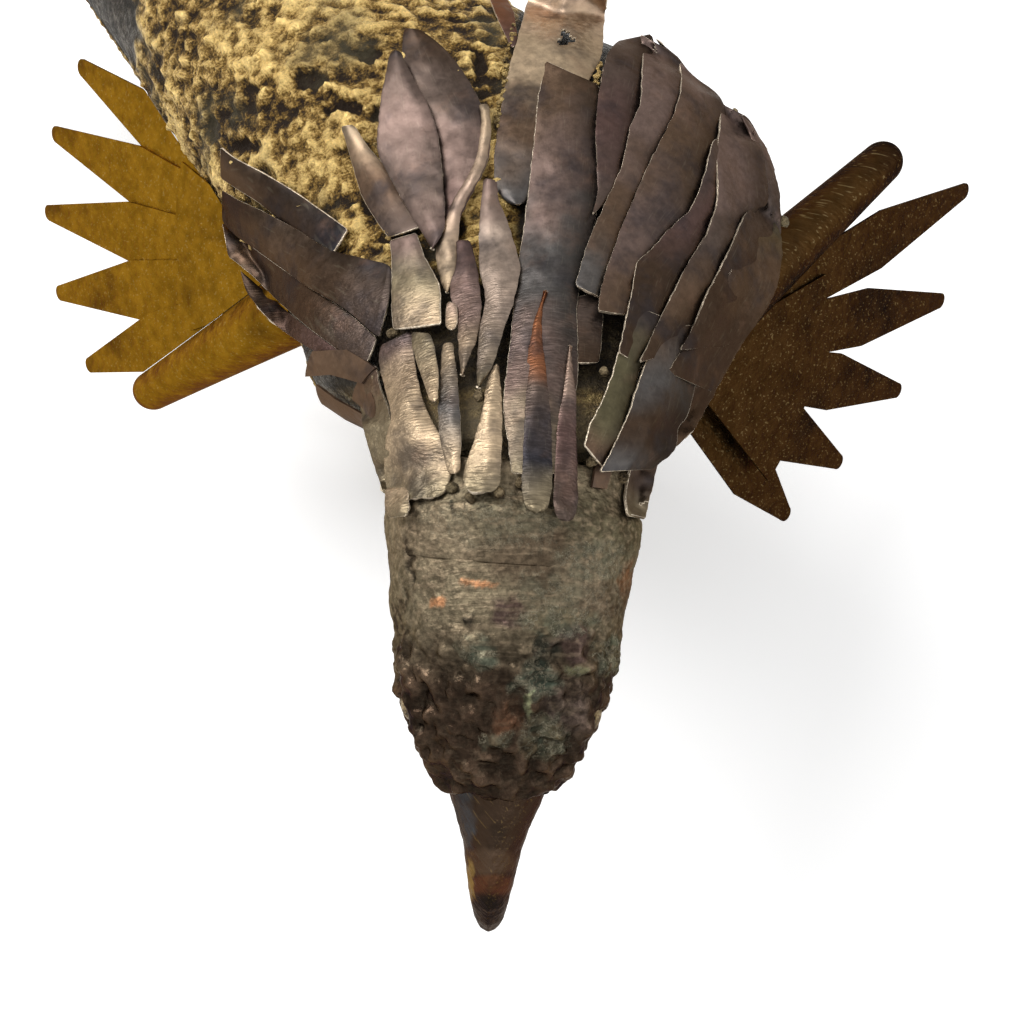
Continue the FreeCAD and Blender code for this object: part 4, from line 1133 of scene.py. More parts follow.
            # Painted shade: where a strip is tucked under its neighbour, its tint darkens towards
            # near-black across the covered side.
            if ribbon.tuck:
                under_strip_shade = clamped((i / across - self.tuck_shade_from) / self.tuck_shade_over)
                colour = colour.lerp(Vector(Tint.SOOT_AND_SHADE.value), self.soot_and_shade_share * under_strip_shade)
            vert[tint_layer] = (*colour, 1.0)
            vert[brushed] = (clamped((y - self.brushed_from) / self.brushed_down)
                             * clamped((self.brushed_to - x) / self.brushed_across))
        wide = (pixels[down // 2, across][0] - pixels[down // 2, 0][0]) * self.pixel_size
        long = down * self.spacing_pixels * self.pixel_size
        for face in work.faces:
            for loop in face.loops:
                u, v = shares[loop.vert]
                loop[sheet_map].uv = (v * long, u * wide)
        if ribbon.hole:
            self._burn_hole(work, ribbon.hole)
        work.normal_update()
        back = self.view.back
        if sum(face.normal.dot(back) for face in work.faces) < 0:
            bmesh.ops.reverse_faces(work, faces=work.faces)
        piece = piece_from(work, ribbon.name, Slot.STRIP, self.finishes.strip,
                           self.finishes.edge)
        wall = piece.modifiers.new("sheet gauge", "SOLIDIFY")
        wall.thickness, wall.offset = self.gauge, -1.0
        wall.material_offset_rim = 1
        worn = piece.modifiers.new("melted edge", "BEVEL")
        worn.width, worn.segments, worn.material = self.bevel, 2, 1
        worn.limit_method, worn.angle_limit = "ANGLE", math.radians(50)
        return piece

    def _tint(self, ribbon: Ribbon, run: float, point: Vector) -> Colour:
        """The heat tint at a share of the strip's length, with uneven borders."""
        count = len(ribbon.tints) - 1
        place = clamped(run + 0.10 * lumps(point, 14.0, 2)) * count
        index = min(int(place), max(count - 1, 0))
        share = place - index if count else 0.0
        share = share * share * (3 - 2 * share)
        first = ribbon.tints[index].value
        second = ribbon.tints[min(index + 1, count)].value
        return tuple(a + (b - a) * share for a, b in zip(first, second))

    def _burn_hole(self, work: bmesh.types.BMesh, hole: tuple[float, float, float]) -> None:
        """Cut an irregular torch-burned hole through a strip."""
        gone = []
        for face in work.faces:
            x, y, _ = self.view.pixel(face.calc_center_median())
            turn = math.atan2(y - hole[1], x - hole[0])
            reach = hole[2] * (1 + 0.28 * math.sin(3 * turn + 0.6) + 0.14 * math.sin(5 * turn))
            if math.hypot(x - hole[0], y - hole[1]) < reach:
                gone.append(face)
        bmesh.ops.delete(work, geom=gone, context="FACES")


T = Tint
RIBBONS: tuple[Ribbon, ...] = (
    Ribbon("mantle_leaf_back", ((404, 28, 420, 29), (402, 48, 444, 48), (404, 72, 464, 73),
                                (414, 100, 479, 100), (424, 128, 490, 130),
                                (430, 158, 488, 160), (436, 190, 474, 190),
                                (440, 222, 458, 222)),
           (0.3, 0.6), (T.CHOCOLATE, T.DUSK, T.MAUVE, T.PLUM), ("strip_leaf_back",), 1.2),
    Ribbon("mantle_leaf", ((391, 51, 400, 50), (386, 72, 411, 74), (381, 98, 426, 101),
                           (378, 126, 435, 124), (378, 152, 440, 149), (392, 182, 443, 182),
                           (408, 210, 445, 211), (424, 236, 443, 232), (431, 249, 433, 249)),
           (2.2, 2.8), (T.DUSK, T.MAUVE, T.DUSK, T.MAUVE), ("strip_leaf",), 1.0),
    Ribbon("mantle_band", ((479, 104, 489, 104), (481, 120, 491, 133), (477, 155, 487, 160),
                           (468, 175, 480, 176), (456, 195, 468, 197), (446, 217, 461, 214),
                           (437, 240, 458, 238), (436, 258, 457, 258), (440, 278, 455, 276),
                           (445, 292, 449, 292)),
           (1.6, 1.6), (T.TAN, T.PINK_BEIGE, T.TAN), (), 0.8),
    Ribbon("mantle_curl", ((340, 126, 354, 124), (345, 140, 368, 146), (352, 165, 382, 162),
                           (360, 192, 398, 186), (372, 215, 412, 206), (388, 238, 423, 226)),
           (0.8, 1.2), (T.TAN, T.UMBER, T.DUSK), ("strip_curl",), 1.0),
    Ribbon("flank_first", ((220, 178, 220, 152), (236, 189, 236, 164), (262, 206, 264, 179),
                           (289, 230, 295, 198), (312, 247, 318, 214), (330, 258, 345, 234)),
           (0.6, 0.8), (T.UMBER, T.CHOCOLATE, T.BLUE_BLACK), ("strip_flank_upper",), 0.8,
           tuck=6.0),
    Ribbon("flank_second", ((222, 222, 222, 196), (236, 236, 236, 205), (262, 254, 262, 217),
                            (284, 270, 290, 232), (306, 286, 326, 254), (345, 309, 362, 264),
                            (374, 334, 388, 272), (380, 333, 391, 290)),
           (2.0, 1.4), (T.CHOCOLATE, T.UMBER, T.CHOCOLATE, T.DUSK), ("strip_flank_middle",),
           0.9, tuck=6.0),
    Ribbon("flank_third", ((228, 256, 222, 222), (250, 274, 244, 241), (280, 303, 284, 270),
                           (306, 326, 310, 288), (336, 349, 345, 310), (362, 374, 377, 338)),
           (1.2, 0.4), (T.UMBER, T.CHOCOLATE, T.DUSK), ("strip_flank_lower",), 0.8),
    Ribbon("flank_dark", ((246, 292, 240, 270), (268, 318, 270, 296), (296, 340, 300, 322),
                          (340, 366, 349, 358)),
           (0.2, 0.1), (T.CHOCOLATE, T.PLUM), (), 0.4),
    Ribbon("collar_square", ((389, 240, 417, 232), (391, 258, 425, 256), (391, 285, 439, 283),
                             (391, 308, 441, 305), (393, 330, 441, 324)),
           (2.4, 2.4), (T.MAUVE, T.KHAKI, T.TAN), ("strip_collar_square",), 1.1),
    Ribbon("collar_tab", ((447, 301, 456, 303), (445, 315, 458, 316), (446, 329, 455, 330)),
           (3.0, 3.0), (T.PINK_BEIGE, T.TAN), (), 0.4),
    Ribbon("collar_fork", ((381, 345, 412, 330), (379, 362, 414, 356), (384, 385, 419, 385),
                           (391, 415, 427, 410), (386, 440, 440, 436), (384, 465, 452, 462),
                           (386, 485, 448, 484), (390, 500, 440, 497)),
           (1.4, 0.6), (T.MAUVE, T.TAN, T.TAN, T.KHAKI), ("strip_collar_fork",), 1.0),
    Ribbon("collar_prong", ((364, 372, 376, 364), (361, 392, 379, 385), (361, 415, 388, 410),
                            (366, 440, 392, 435), (374, 465, 395, 460), (384, 495, 396, 492)),
           (0.6, 1.0), (T.UMBER, T.KHAKI, T.KHAKI), (), 0.6),
    Ribbon("collar_slip", ((411, 332, 430, 333), (413, 350, 435, 350), (420, 372, 438, 372),
                           (426, 390, 438, 390), (430, 402, 438, 400)),
           (2.6, 2.6), (T.KHAKI, T.TAN), ("strips_collar_narrow",), 0.5),
    Ribbon("collar_bar", ((443, 343, 453, 342), (441, 360, 455, 360), (440, 385, 458, 385),
                          (438, 412, 460, 412), (440, 440, 461, 440), (448, 474, 460, 473)),
           (1.8, 1.8), (T.TAN, T.SLATE, T.TAN), (), 0.6),
    Ribbon("collar_red", ((456, 240, 470, 240), (456, 262, 476, 262), (450, 290, 480, 288),
                          (456, 315, 481, 315), (458, 338, 477, 338), (459, 356, 470, 356),
                          (461, 376, 464, 374)),
           (2.4, 2.4), (T.PLUM, T.MAUVE, T.TAN), (), 0.7),
    Ribbon("neck_blade", ((484, 178, 496, 180), (481, 200, 500, 202), (479, 225, 509, 226),
                          (479, 250, 516, 250), (480, 272, 520, 268), (485, 300, 514, 300),
                          (479, 332, 503, 332), (477, 362, 493, 364), (477, 388, 480, 386)),
           (3.2, 3.0), (T.MAUVE, T.ASH, T.ASH, T.KHAKI), ("strip_blade",), 0.9),
    Ribbon("nape_pale", ((495, 364, 499, 364), (487, 380, 500, 382), (483, 409, 502, 405),
                         (474, 440, 502, 440), (466, 465, 501, 465), (463, 480, 500, 482),
                         (470, 492, 494, 492)),
           (2.4, 2.4), (T.TAN, T.TAN, T.KHAKI), ("strip_nape_pale",), 0.9),
    Ribbon("nape_plate_red", ((487, -10, 500, -12), (494, 10, 512, 8), (503, 30, 517, 30),
                              (510, 48, 518, 44)),
           (0.2, 0.2), (T.RUST, T.PLUM), (), 0.4),
    Ribbon("nape_holed", ((535, -35, 608, -30), (528, -2, 606, 2), (519, 32, 604, 28),
                          (510, 64, 600, 60), (503, 96, 580, 95), (497, 134, 560, 134),
                          (494, 165, 545, 165), (497, 190, 535, 190), (510, 205, 528, 203)),
           (0.8, 0.4), (T.PALE_ROSE, T.TAN, T.UMBER, T.SLATE), ("strip_holed",), 1.4,
           (566, 38, 7.5)),
    Ribbon("nape_long", ((545, 60, 584, 78), (541, 82, 592, 86), (537, 103, 595, 104),
                         (533, 146, 594, 140), (528, 190, 595, 178), (523, 230, 588, 225),
                         (518, 262, 580, 262), (513, 306, 571, 303), (510, 340, 571, 340),
                         (505, 378, 571, 378), (503, 410, 566, 410), (507, 440, 560, 440),
                         (511, 474, 552, 474)),
           (1.8, 1.4), (T.UMBER, T.MAUVE, T.SLATE, T.MAUVE, T.KHAKI), ("strip_spine_long",),
           1.6, tuck=7.0),
    Ribbon("nape_round_first", ((545, 290, 547, 290), (537, 312, 543, 310),
                                (530, 335, 542, 335), (527, 370, 546, 370),
                                (525, 410, 550, 408), (523, 450, 552, 448),
                                (522, 485, 552, 485), (526, 506, 548, 506),
                                (533, 513, 541, 513)),
           (3.0, 3.0), (T.RUST, T.RUST, T.DUSK, T.BLUE_BLACK, T.KHAKI),
           ("strips_nape_round",), 0.8),
    Ribbon("nape_round_second", ((569, 345, 571, 345), (566, 370, 573, 370),
                                 (563, 395, 576, 395), (558, 420, 576, 420),
                                 (556, 450, 577, 450), (554, 485, 578, 485),
                                 (554, 508, 577, 508), (560, 521, 572, 521)),
           (2.4, 2.2), (T.PINK_BEIGE, T.PLUM, T.DUSK), (), 0.7),
    Ribbon("mantle_rim_first", ((655, 38, 672, 52), (668, 58, 688, 74), (682, 84, 706, 98),
                                (698, 112, 722, 118)),
           (0.4, 0.2), (T.PINK_BEIGE, T.MAUVE), (), 0.8, tuck=9.0),
    Ribbon("mantle_rim_second", ((684, 72, 700, 84), (700, 92, 726, 106), (722, 112, 752, 128),
                                 (724, 150, 768, 152), (740, 175, 776, 172)),
           (0.8, 0.3), (T.MAUVE, T.MAUVE, T.MAUVE), (), 0.8),
    Ribbon("shoulder_first", ((617, 41, 641, 36), (608, 53, 644, 51), (603, 72, 643, 75),
                              (598, 100, 635, 108), (596, 130, 628, 140), (597, 165, 618, 170),
                              (597, 195, 610, 192), (592, 214, 600, 208)),
           (3.8, 1.2), (T.DUSK, T.PLUM, T.DUSK), ("strip_shoulder_first",), 1.2, tuck=11.0),
    Ribbon("shoulder_second", ((640, 34, 662, 46), (643, 52, 676, 66), (642, 75, 684, 90),
                               (640, 103, 676, 122), (630, 128, 655, 154), (622, 165, 642, 180),
                               (606, 202, 628, 214), (592, 232, 616, 245),
                               (582, 262, 604, 272), (575, 285, 598, 296)),
           (4.0, 1.2), (T.MAUVE, T.MAUVE, T.UMBER, T.SLATE), ("strip_shoulder_second",),
           1.2, tuck=11.0),
    Ribbon("shoulder_plate", ((571, 298, 605, 290), (573, 325, 603, 322), (574, 350, 601, 350),
                              (575, 363, 600, 363)),
           (0.6, 0.4), (T.DUSK, T.CHOCOLATE), (), 0.6),
    Ribbon("shoulder_third", ((680, 62, 690, 72), (682, 84, 710, 94), (676, 108, 716, 118),
                              (668, 126, 712, 142), (652, 158, 702, 178), (640, 184, 688, 208),
                              (626, 216, 664, 234), (612, 254, 646, 256),
                              (602, 285, 634, 290), (598, 310, 628, 315)),
           (4.0, 1.2), (T.MAUVE, T.UMBER, T.MAUVE, T.UMBER), ("strip_shoulder_fourth",),
           1.3, tuck=11.0),
    Ribbon("shoulder_fourth", ((713, 140, 726, 136), (705, 172, 724, 168), (692, 206, 722, 195),
                               (668, 230, 710, 228), (650, 250, 692, 258),
                               (637, 263, 680, 282), (632, 290, 668, 305),
                               (626, 320, 655, 335), (619, 352, 640, 366)),
           (4.0, 1.2), (T.DUSK, T.PLUM, T.CHOCOLATE, T.CHOCOLATE), ("strip_shoulder_fifth",), 1.2,
           tuck=11.0),
    Ribbon("shoulder_fifth", ((722, 104, 738, 112), (720, 130, 750, 138), (717, 160, 755, 168),
                              (718, 195, 757, 200), (709, 229, 744, 218),
                              (690, 260, 727, 256), (672, 296, 709, 291),
                              (655, 330, 690, 325), (640, 362, 676, 352)),
           (4.1, 1.4), (T.MAUVE, T.MAUVE, T.DUSK, T.UMBER, T.CHOCOLATE), (), 1.2, tuck=11.0),
    Ribbon("shoulder_sixth", ((738, 112, 752, 124), (750, 138, 768, 152), (756, 168, 778, 184),
                              (757, 200, 781, 210), (745, 216, 781, 235),
                              (727, 256, 780, 262), (709, 291, 770, 290),
                              (694, 325, 757, 318), (680, 350, 742, 344)),
           (4.1, 1.2), (T.MAUVE, T.DUSK, T.CHOCOLATE, T.CHOCOLATE), ("strip_shoulder_sixth",),
           1.3),
    Ribbon("shoulder_seventh", ((758, 206, 764, 204), (750, 228, 781, 236), (738, 256, 781, 264),
                                (726, 280, 776, 290), (708, 306, 762, 316),
                                (690, 336, 738, 350), (668, 372, 712, 392)),
           (3.6, 2.4), (T.OLIVE, T.UMBER, T.CHOCOLATE, T.CHOCOLATE), (), 1.1),
    Ribbon("nape_side_plate", ((629, 302, 660, 315), (624, 326, 650, 340),
                               (618, 352, 634, 362), (610, 379, 628, 392),
                               (598, 408, 620, 418), (590, 424, 612, 440),
                               (584, 445, 598, 462)),
           (3.4, 2.4), (T.DUSK, T.OLIVE, T.OLIVE, T.UMBER), ("strip_shoulder_third",), 0.8,
           tuck=9.0),
    Ribbon("collar_side_first", ((661, 326, 690, 325), (651, 345, 684, 342),
                                 (645, 366, 690, 366), (637, 387, 686, 395),
                                 (631, 408, 680, 415), (624, 424, 672, 428),
                                 (612, 449, 668, 450), (600, 472, 645, 470)),
           (3.6, 2.0), (T.UMBER, T.SLATE, T.CHOCOLATE, T.SLATE), (), 1.2, tuck=7.0),
    Ribbon("collar_side_second", ((732, 342, 745, 340), (716, 364, 728, 368),
                                  (697, 384, 712, 398), (684, 408, 697, 425),
                                  (674, 425, 686, 438), (662, 450, 668, 455)),
           (4.2, 3.6), (T.UMBER, T.CHOCOLATE, T.UMBER), (), 0.6),
    Ribbon("collar_edge_right", ((640, 438, 662, 444), (632, 466, 656, 472),
                                 (626, 494, 650, 500), (628, 516, 645, 520)),
           (1.2, 0.8), (T.UMBER, T.DUSK, T.KHAKI), (), 0.8),
    Ribbon("collar_square_small", ((386, 488, 408, 487), (384, 503, 409, 503),
                                   (388, 518, 408, 516)),
           (2.0, 2.0), (T.TAN, T.KHAKI), (), 0.5),
)


# ---------------------------------------------------------------- body


@dataclass
class Body:
    """The rough brazed body behind and under the strips."""

    view: PhotoView
    finishes: Finishes
    stations_mm: tuple[Place, ...] = (
        (-50.0, -123.0, 277.5), (-37.5, -95.0, 268.0), (-16.5, -59.5, 241.0),
        (-7.5, -32.5, 228.5), (-1.0, 22.0, 222.0), (-36.0, 80.0, 218.0), (-66.0, 145.0, 214.0),
        (-98.0, 210.0, 209.0), (-128.0, 268.0, 202.0))
    rows: int = 300
    columns: int = 288
    first_share: float = 0.02
    length_share: float = 0.962
    crowding: float = 0.14
    cast_from: float = 190.0 * MM
    sunk: float = 2.6 * MM
    wall: float = 3.0 * MM
    crusted_from: float = 375.0
    crusted_over: float = 45.0
    relief: float = 3.0 * MM
    settled: float = 0.6 * MM
    border_sway: float = 14.0
    border_fade: float = 26.0
    rear_fade: float = 60.0
    far_side_free: float = 0.55
    hollow_reach: float = 1.2
    hollow_depth: float = 1.2
    window: Row = (150.0, -60.0, 500.0, 262.0)
    hollows: tuple[Row, ...] = (
        (369, 53, 13, 9), (309, 76, 16, 11), (243, 146, 14, 8), (335, 106, 24, 6),
        (384, 112, 15, 8), (372, 205, 9, 16), (480, 66, 8, 16))

    def build(self, tree: BVHTree) -> None:
        """Cast the body's skin from its own middle line and roughen it.

        Args:
            tree: the search tree of the CAD shell.
        """
        work = bmesh.new()
        bmesh.ops.create_grid(work, x_segments=self.columns, y_segments=self.rows, size=1.0)
        height = work.verts.layers.float.new("relief")
        shade_under_strips = work.verts.layers.float.new("shade_under_strips")
        crusted = work.verts.layers.float.new("crusted")
        origin = self.view.origin
        axis = [origin + Vector(place) * MM for place in self.stations_mm]
        for vert in work.verts:
            run = (vert.co.y + 1) / 2
            turn = math.pi * (vert.co.x + self._crowd(vert.co.x))
            vert.co, vert[height], under_strip_shade = self._skin_point(tree, axis, run, turn)
            y = self.view.pixel(vert.co)[1]
            vert[crusted] = clamped((y - self.crusted_from) / self.crusted_over)
            # Painted shade: the camera-facing skin under the strips is darkened, less where it is
            # crusted.
            vert[shade_under_strips] = under_strip_shade * (1.0 - vert[crusted])
        bmesh.ops.remove_doubles(work, verts=work.verts, dist=4 * SAME_PLACE)
        rims = [edge for edge in work.edges if edge.is_boundary]
        bmesh.ops.holes_fill(work, edges=rims, sides=0)
        bmesh.ops.triangulate(work, faces=[face for face in work.faces if len(face.verts) > 4])
        bmesh.ops.recalc_face_normals(work, faces=work.faces)
        piece = piece_from(work, "brazed_body", Slot.BRAZE, self.finishes.braze)
        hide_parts("body_shell")
        LOG.info("body with %d faces", len(piece.data.polygons))

    def _crowd(self, across: float) -> float:
        """Shifts the columns towards the body's upper left side."""
        return -self.crowding * math.sin(math.pi * across)

    def _skin_point(self, tree: BVHTree, axis: list[Vector], run: float,
                    turn: float) -> tuple[Vector, float, float]:
        """One point of the roughened skin.

        Args:
            tree: the search tree of the CAD shell.
            axis: the body's middle line.
            run: share of the way from the neck to the tail.
            turn: angle round the middle line from the top.

        Returns:
            The point, its height in the relief and its painted shade under the strips, from 0 to
            1.
        """
        last = len(axis) - 1
        place = (self.first_share + self.length_share * run) * last
        centre, ahead, behind = (
            Vector([curve_value([point[k] for point in axis], at) for k in range(3)])
            for at in (place, min(place + 0.05, last), place - 0.05))
        along = (ahead - behind).normalized()
        side = along.cross(Vector((0, 0, 1))).normalized()
        way = spoke(side, side.cross(along), turn)
        hit, normal, _, _ = tree.ray_cast(centre + way * self.cast_from, -way, self.cast_from)
        if hit is None:
            hit, normal, _, _ = tree.find_nearest(centre)
        x, y, _ = self.view.pixel(hit)
        shown = normal.dot(self.view.back) > 0.0
        left, top, right, bottom = self.window
        border = (min(x - left, right - x, y - top, bottom - y)
                  + self.border_sway * lumps(hit, 12.0, 2))
        free = 1.0 - clamped(-border / self.border_fade)
        if not shown:
            free = max(free, self.far_side_free)
        free = max(free, min(1.0, -y / self.rear_fade))
        ridge = self._ridges(hit)
        for across, down, wide, tall in self.hollows:
            away = math.hypot((x - across) / wide, (y - down) / tall) + 0.55 * lumps(hit, 6.0, 3)
            if shown and away < self.hollow_reach:
                ridge -= self.hollow_depth * min(1.0, (self.hollow_reach - away) / 0.6)
        level = (ridge * self.relief - self.settled) * free - self.sunk * (1.0 - free)
        level = max(level, -self.wall)
        height = clamped(0.47 + ridge * 0.78 * (0.3 + 0.7 * free))
        # The last value is painted shade: how far the camera-facing skin lies under the strips.
        return hit + normal * level, height, (1.0 - free if shown else 0.0)

    def _ridges(self, point: Vector) -> float:
        """Spiky, grainy relief that runs from left to right, about -1 to 1."""
        right, up, back = self.view.right, self.view.up, self.view.back
        flat = Vector((point.dot(right) * 0.55, point.dot(up), point.dot(back) * 0.7)) / MM
        swell = noise.noise(flat / 17.0) * 0.55
        ridge = 1.0 - 2.2 * abs(noise.noise(flat / 6.5))
        grain = noise.noise(flat / 2.6) * 0.55
        spike = max(0.0, noise.noise(flat / 3.6 + Vector((7.0, 3.0, 1.0)))) ** 2 * 1.6
        return max(-1.2, min(1.3, swell + 0.42 * ridge + grain + spike - 0.25))


# ---------------------------------------------------------------- head and beak


PATCH_REACH = 1.35
PATCH_BORDER = 0.5


@dataclass(frozen=True)
class Patch:
    """A patch of patina, crust or bare metal on the head, by its place in the picture."""

    middle: Pixel
    reach: Pixel
    tint: Tint
    share: float = 1.0
    gloss: float = 0.0
    rise: float = 0.0
    patina: float = 0.0

    def share_at(self, x: float, y: float) -> float:
        """How much of the patch lies on a pixel, with a soft border."""
        away = math.hypot((x - self.middle[0]) / self.reach[0],
                          (y - self.middle[1]) / self.reach[1])
        return clamped((PATCH_REACH - away) / PATCH_BORDER) * self.share


@dataclass
class Head:
    """The brazed skull: ground smooth behind, lumpy and glossy towards the beak."""

    view: PhotoView
    finishes: Finishes
    voxel: float = 0.85 * MM
    lump_rise: float = 2.1 * MM
    knob_size: float = 4.4 * MM
    knob_rise: float = 2.6 * MM
    fine_rise: float = 0.22 * MM
    lumps_from: float = 622.0
    lumps_over: float = 40.0
    dark_from: float = 600.0
    dark_over: float = 90.0
    gloss: float = 0.9
    least_shown: float = 0.12
    sway: float = 9.0
    sway_shift: Place = (0.3, 0.1, 0.2)
    patches: tuple[Patch, ...] = field(default_factory=lambda: HEAD_PATCHES)

    def build(self) -> None:
        """Make the skull, with painted shade and highlight in the tint of its lumps."""
        work = remeshed(merged_copy("head_shell"), self.voxel)
        work.normal_update()
        tint = work.verts.layers.float_color.new("tint")
        gloss = work.verts.layers.float.new("gloss")
        patina = work.verts.layers.float.new("patina")
        moved = []
        for vert in work.verts:
            x, y, _ = self.view.pixel(vert.co)
            shown = max(0.0, vert.normal.dot(self.view.back))
            colour, wet, rise, vert[patina] = self.painted(vert.co, x, y, shown)
            forward = clamped((y - self.lumps_from) / self.lumps_over)
            blob = max(0.0, lumps(vert.co, 9.0, 2) + 0.25) ** 1.3
            swell = lumps(vert.co, 17.0, 2) * 0.45
            knob = max(0.0, noise.noise(vert.co / self.knob_size) + 0.04) ** 0.8 * forward
            fine = lumps(vert.co, 2.6, 2)
            # Painted shade and highlight: towards the beak the tint is darkened between the lumps
            # and lightened on the knobs and blobs.
            high = 1.0 + forward * (1.9 * knob + 0.7 * min(blob, 1.0) - 0.62)
            vert[tint], vert[gloss] = (*(part * high for part in colour), 1.0), wet
            level = (self.lump_rise * (blob * (0.2 + 0.5 * forward) + swell - 0.42)
                     + self.knob_rise * knob + self.fine_rise * fine + rise * MM)
            moved.append((vert, vert.co + vert.normal * level))
        for vert, place in moved:
            vert.co = place
        piece = piece_from(work, "skull", Slot.BRAZE, self.finishes.skull)
        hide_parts("head_shell")
        LOG.info("skull with %d faces", len(piece.data.polygons))

    def painted(self, point: Vector, x: float, y: float,
                shown: float) -> tuple[Colour, float, float, float]:
        """The tint, gloss and rise of a point of the skull.

        Args:
            point: the point.
            x: its pixel's x.
            y: its pixel's y.
            shown: how squarely it faces the camera.

        Returns:
            Its colour, how glossy it is, how far it rises in millimetres and its patina.
        """
        forward = clamped((y - self.dark_from) / self.dark_over)
        colour = Vector(Tint.KHAKI.value).lerp(Vector(Tint.CHOCOLATE.value), forward)
        wet, rise, patina = forward * self.gloss, 0.0, 0.0
        sway_x = x + self.sway * lumps(point, 8.0)
        sway_y = y + self.sway * lumps(point + Vector(self.sway_shift), 8.0)
        for patch in self.patches:
            share = patch.share_at(sway_x, sway_y)
            if shown < self.least_shown or share <= 0.0:
                continue
            colour = colour.lerp(Vector(patch.tint.value), share)
            wet += (patch.gloss - wet) * share
            rise += patch.rise * share
            patina = max(patina, patch.patina * share)
        return tuple(colour), wet, rise, patina


HEAD_PATCHES: tuple[Patch, ...] = (
    Patch((500, 520), (70, 26), T.KHAKI, 0.8, 0.0, 0.2, 0.35),
    Patch((430, 540), (40, 34), T.TAN, 0.35),
    Patch((600, 530), (44, 30), T.OLIVE, 0.7),
    Patch((540, 560), (50, 26), T.UMBER, 0.6),
    Patch((430, 580), (34, 26), T.KHAKI, 0.6),
    Patch((476, 581), (14, 4), T.SALMON, 0.9, 0.1, 0.2),
    Patch((438, 606), (8, 6), T.SALMON, 0.9, 0.1, 0.2),
    Patch((510, 613), (15, 15), T.PLUM, 0.9, 0.3, -0.2),
    Patch((409, 560), (4, 26), T.SOOT_AND_SHADE, 0.8, 0.0, -0.7),
    Patch((399, 618), (4, 30), T.SOOT_AND_SHADE, 0.7, 0.0, -0.5),
    Patch((630, 582), (7, 18), T.RUST, 0.7, 0.3, 0.3),
    Patch((600, 600), (30, 18), T.UMBER, 0.6, 0.3, 0.0, 0.3),
    Patch((590, 560), (34, 20), T.KHAKI, 0.5, 0.0, 0.4, 0.9),
    Patch((555, 590), (34, 16), T.KHAKI, 0.4, 0.0, 0.2, 0.8),
    Patch((405, 652), (12, 11), T.CHOCOLATE, 0.7, 1.0, 1.0),
    Patch((418, 676), (15, 10), T.UMBER, 0.6, 1.0, 1.2),
    Patch((450, 690), (17, 12), T.CHOCOLATE, 0.6, 1.0, 1.3),
    Patch((432, 722), (15, 10), T.CHOCOLATE, 0.6, 1.0, 1.1),
    Patch((467, 648), (16, 10), T.KHAKI, 0.5, 0.5, 0.8, 0.6),
    Patch((490, 680), (14, 16), T.CHOCOLATE, 0.6, 0.9, 0.8),
    Patch((484, 655), (14, 12), T.VERDIGRIS, 0.5, 0.3, 0.3, 0.8),
    Patch((560, 622), (40, 14), T.OLIVE, 0.5, 0.1, 0.2, 1.0),
    Patch((575, 645), (18, 16), T.PLUM, 0.85, 0.6, 0.8),
    Patch((612, 655), (14, 16), T.OLIVE, 0.7, 0.2, 0.3, 0.8),
    Patch((545, 650), (12, 18), T.SOOT_AND_SHADE, 0.85, 0.5, -1.2, 0.2),
    Patch((535, 680), (20, 18), T.VERDIGRIS, 0.6, 0.1, 0.4, 1.0),
    Patch((576, 674), (10, 7), T.LIME, 0.35, 0.1, 0.6, 1.0),
    Patch((527, 704), (4, 14), T.LIME, 0.8, 0.3, 0.7, 0.3),
    Patch((570, 705), (20, 20), T.DUSK, 0.8, 0.7, 0.9),
    Patch((545, 735), (22, 20), T.OLIVE, 0.5, 0.3, 0.4, 1.0),
    Patch((495, 742), (14, 7), T.KHAKI, 0.5, 0.1, 0.4, 1.0),
    Patch((508, 722), (12, 16), T.RUST, 0.35, 0.6, 0.3),
    Patch((572, 740), (12, 16), T.SOOT_AND_SHADE, 0.6, 0.8, 0.4),
    Patch((452, 502), (4, 4), T.SOOT_AND_SHADE, 0.9, 0.1, -1.0),
    Patch((467, 620), (6, 7), T.SOOT_AND_SHADE, 0.9, 0.6, 1.0),
    Patch((420, 733), (4, 4), T.SOOT_AND_SHADE, 0.9, 0.1, -1.2),
    Patch((470, 762), (20, 14), T.UMBER, 0.6, 0.6, 0.6),
)


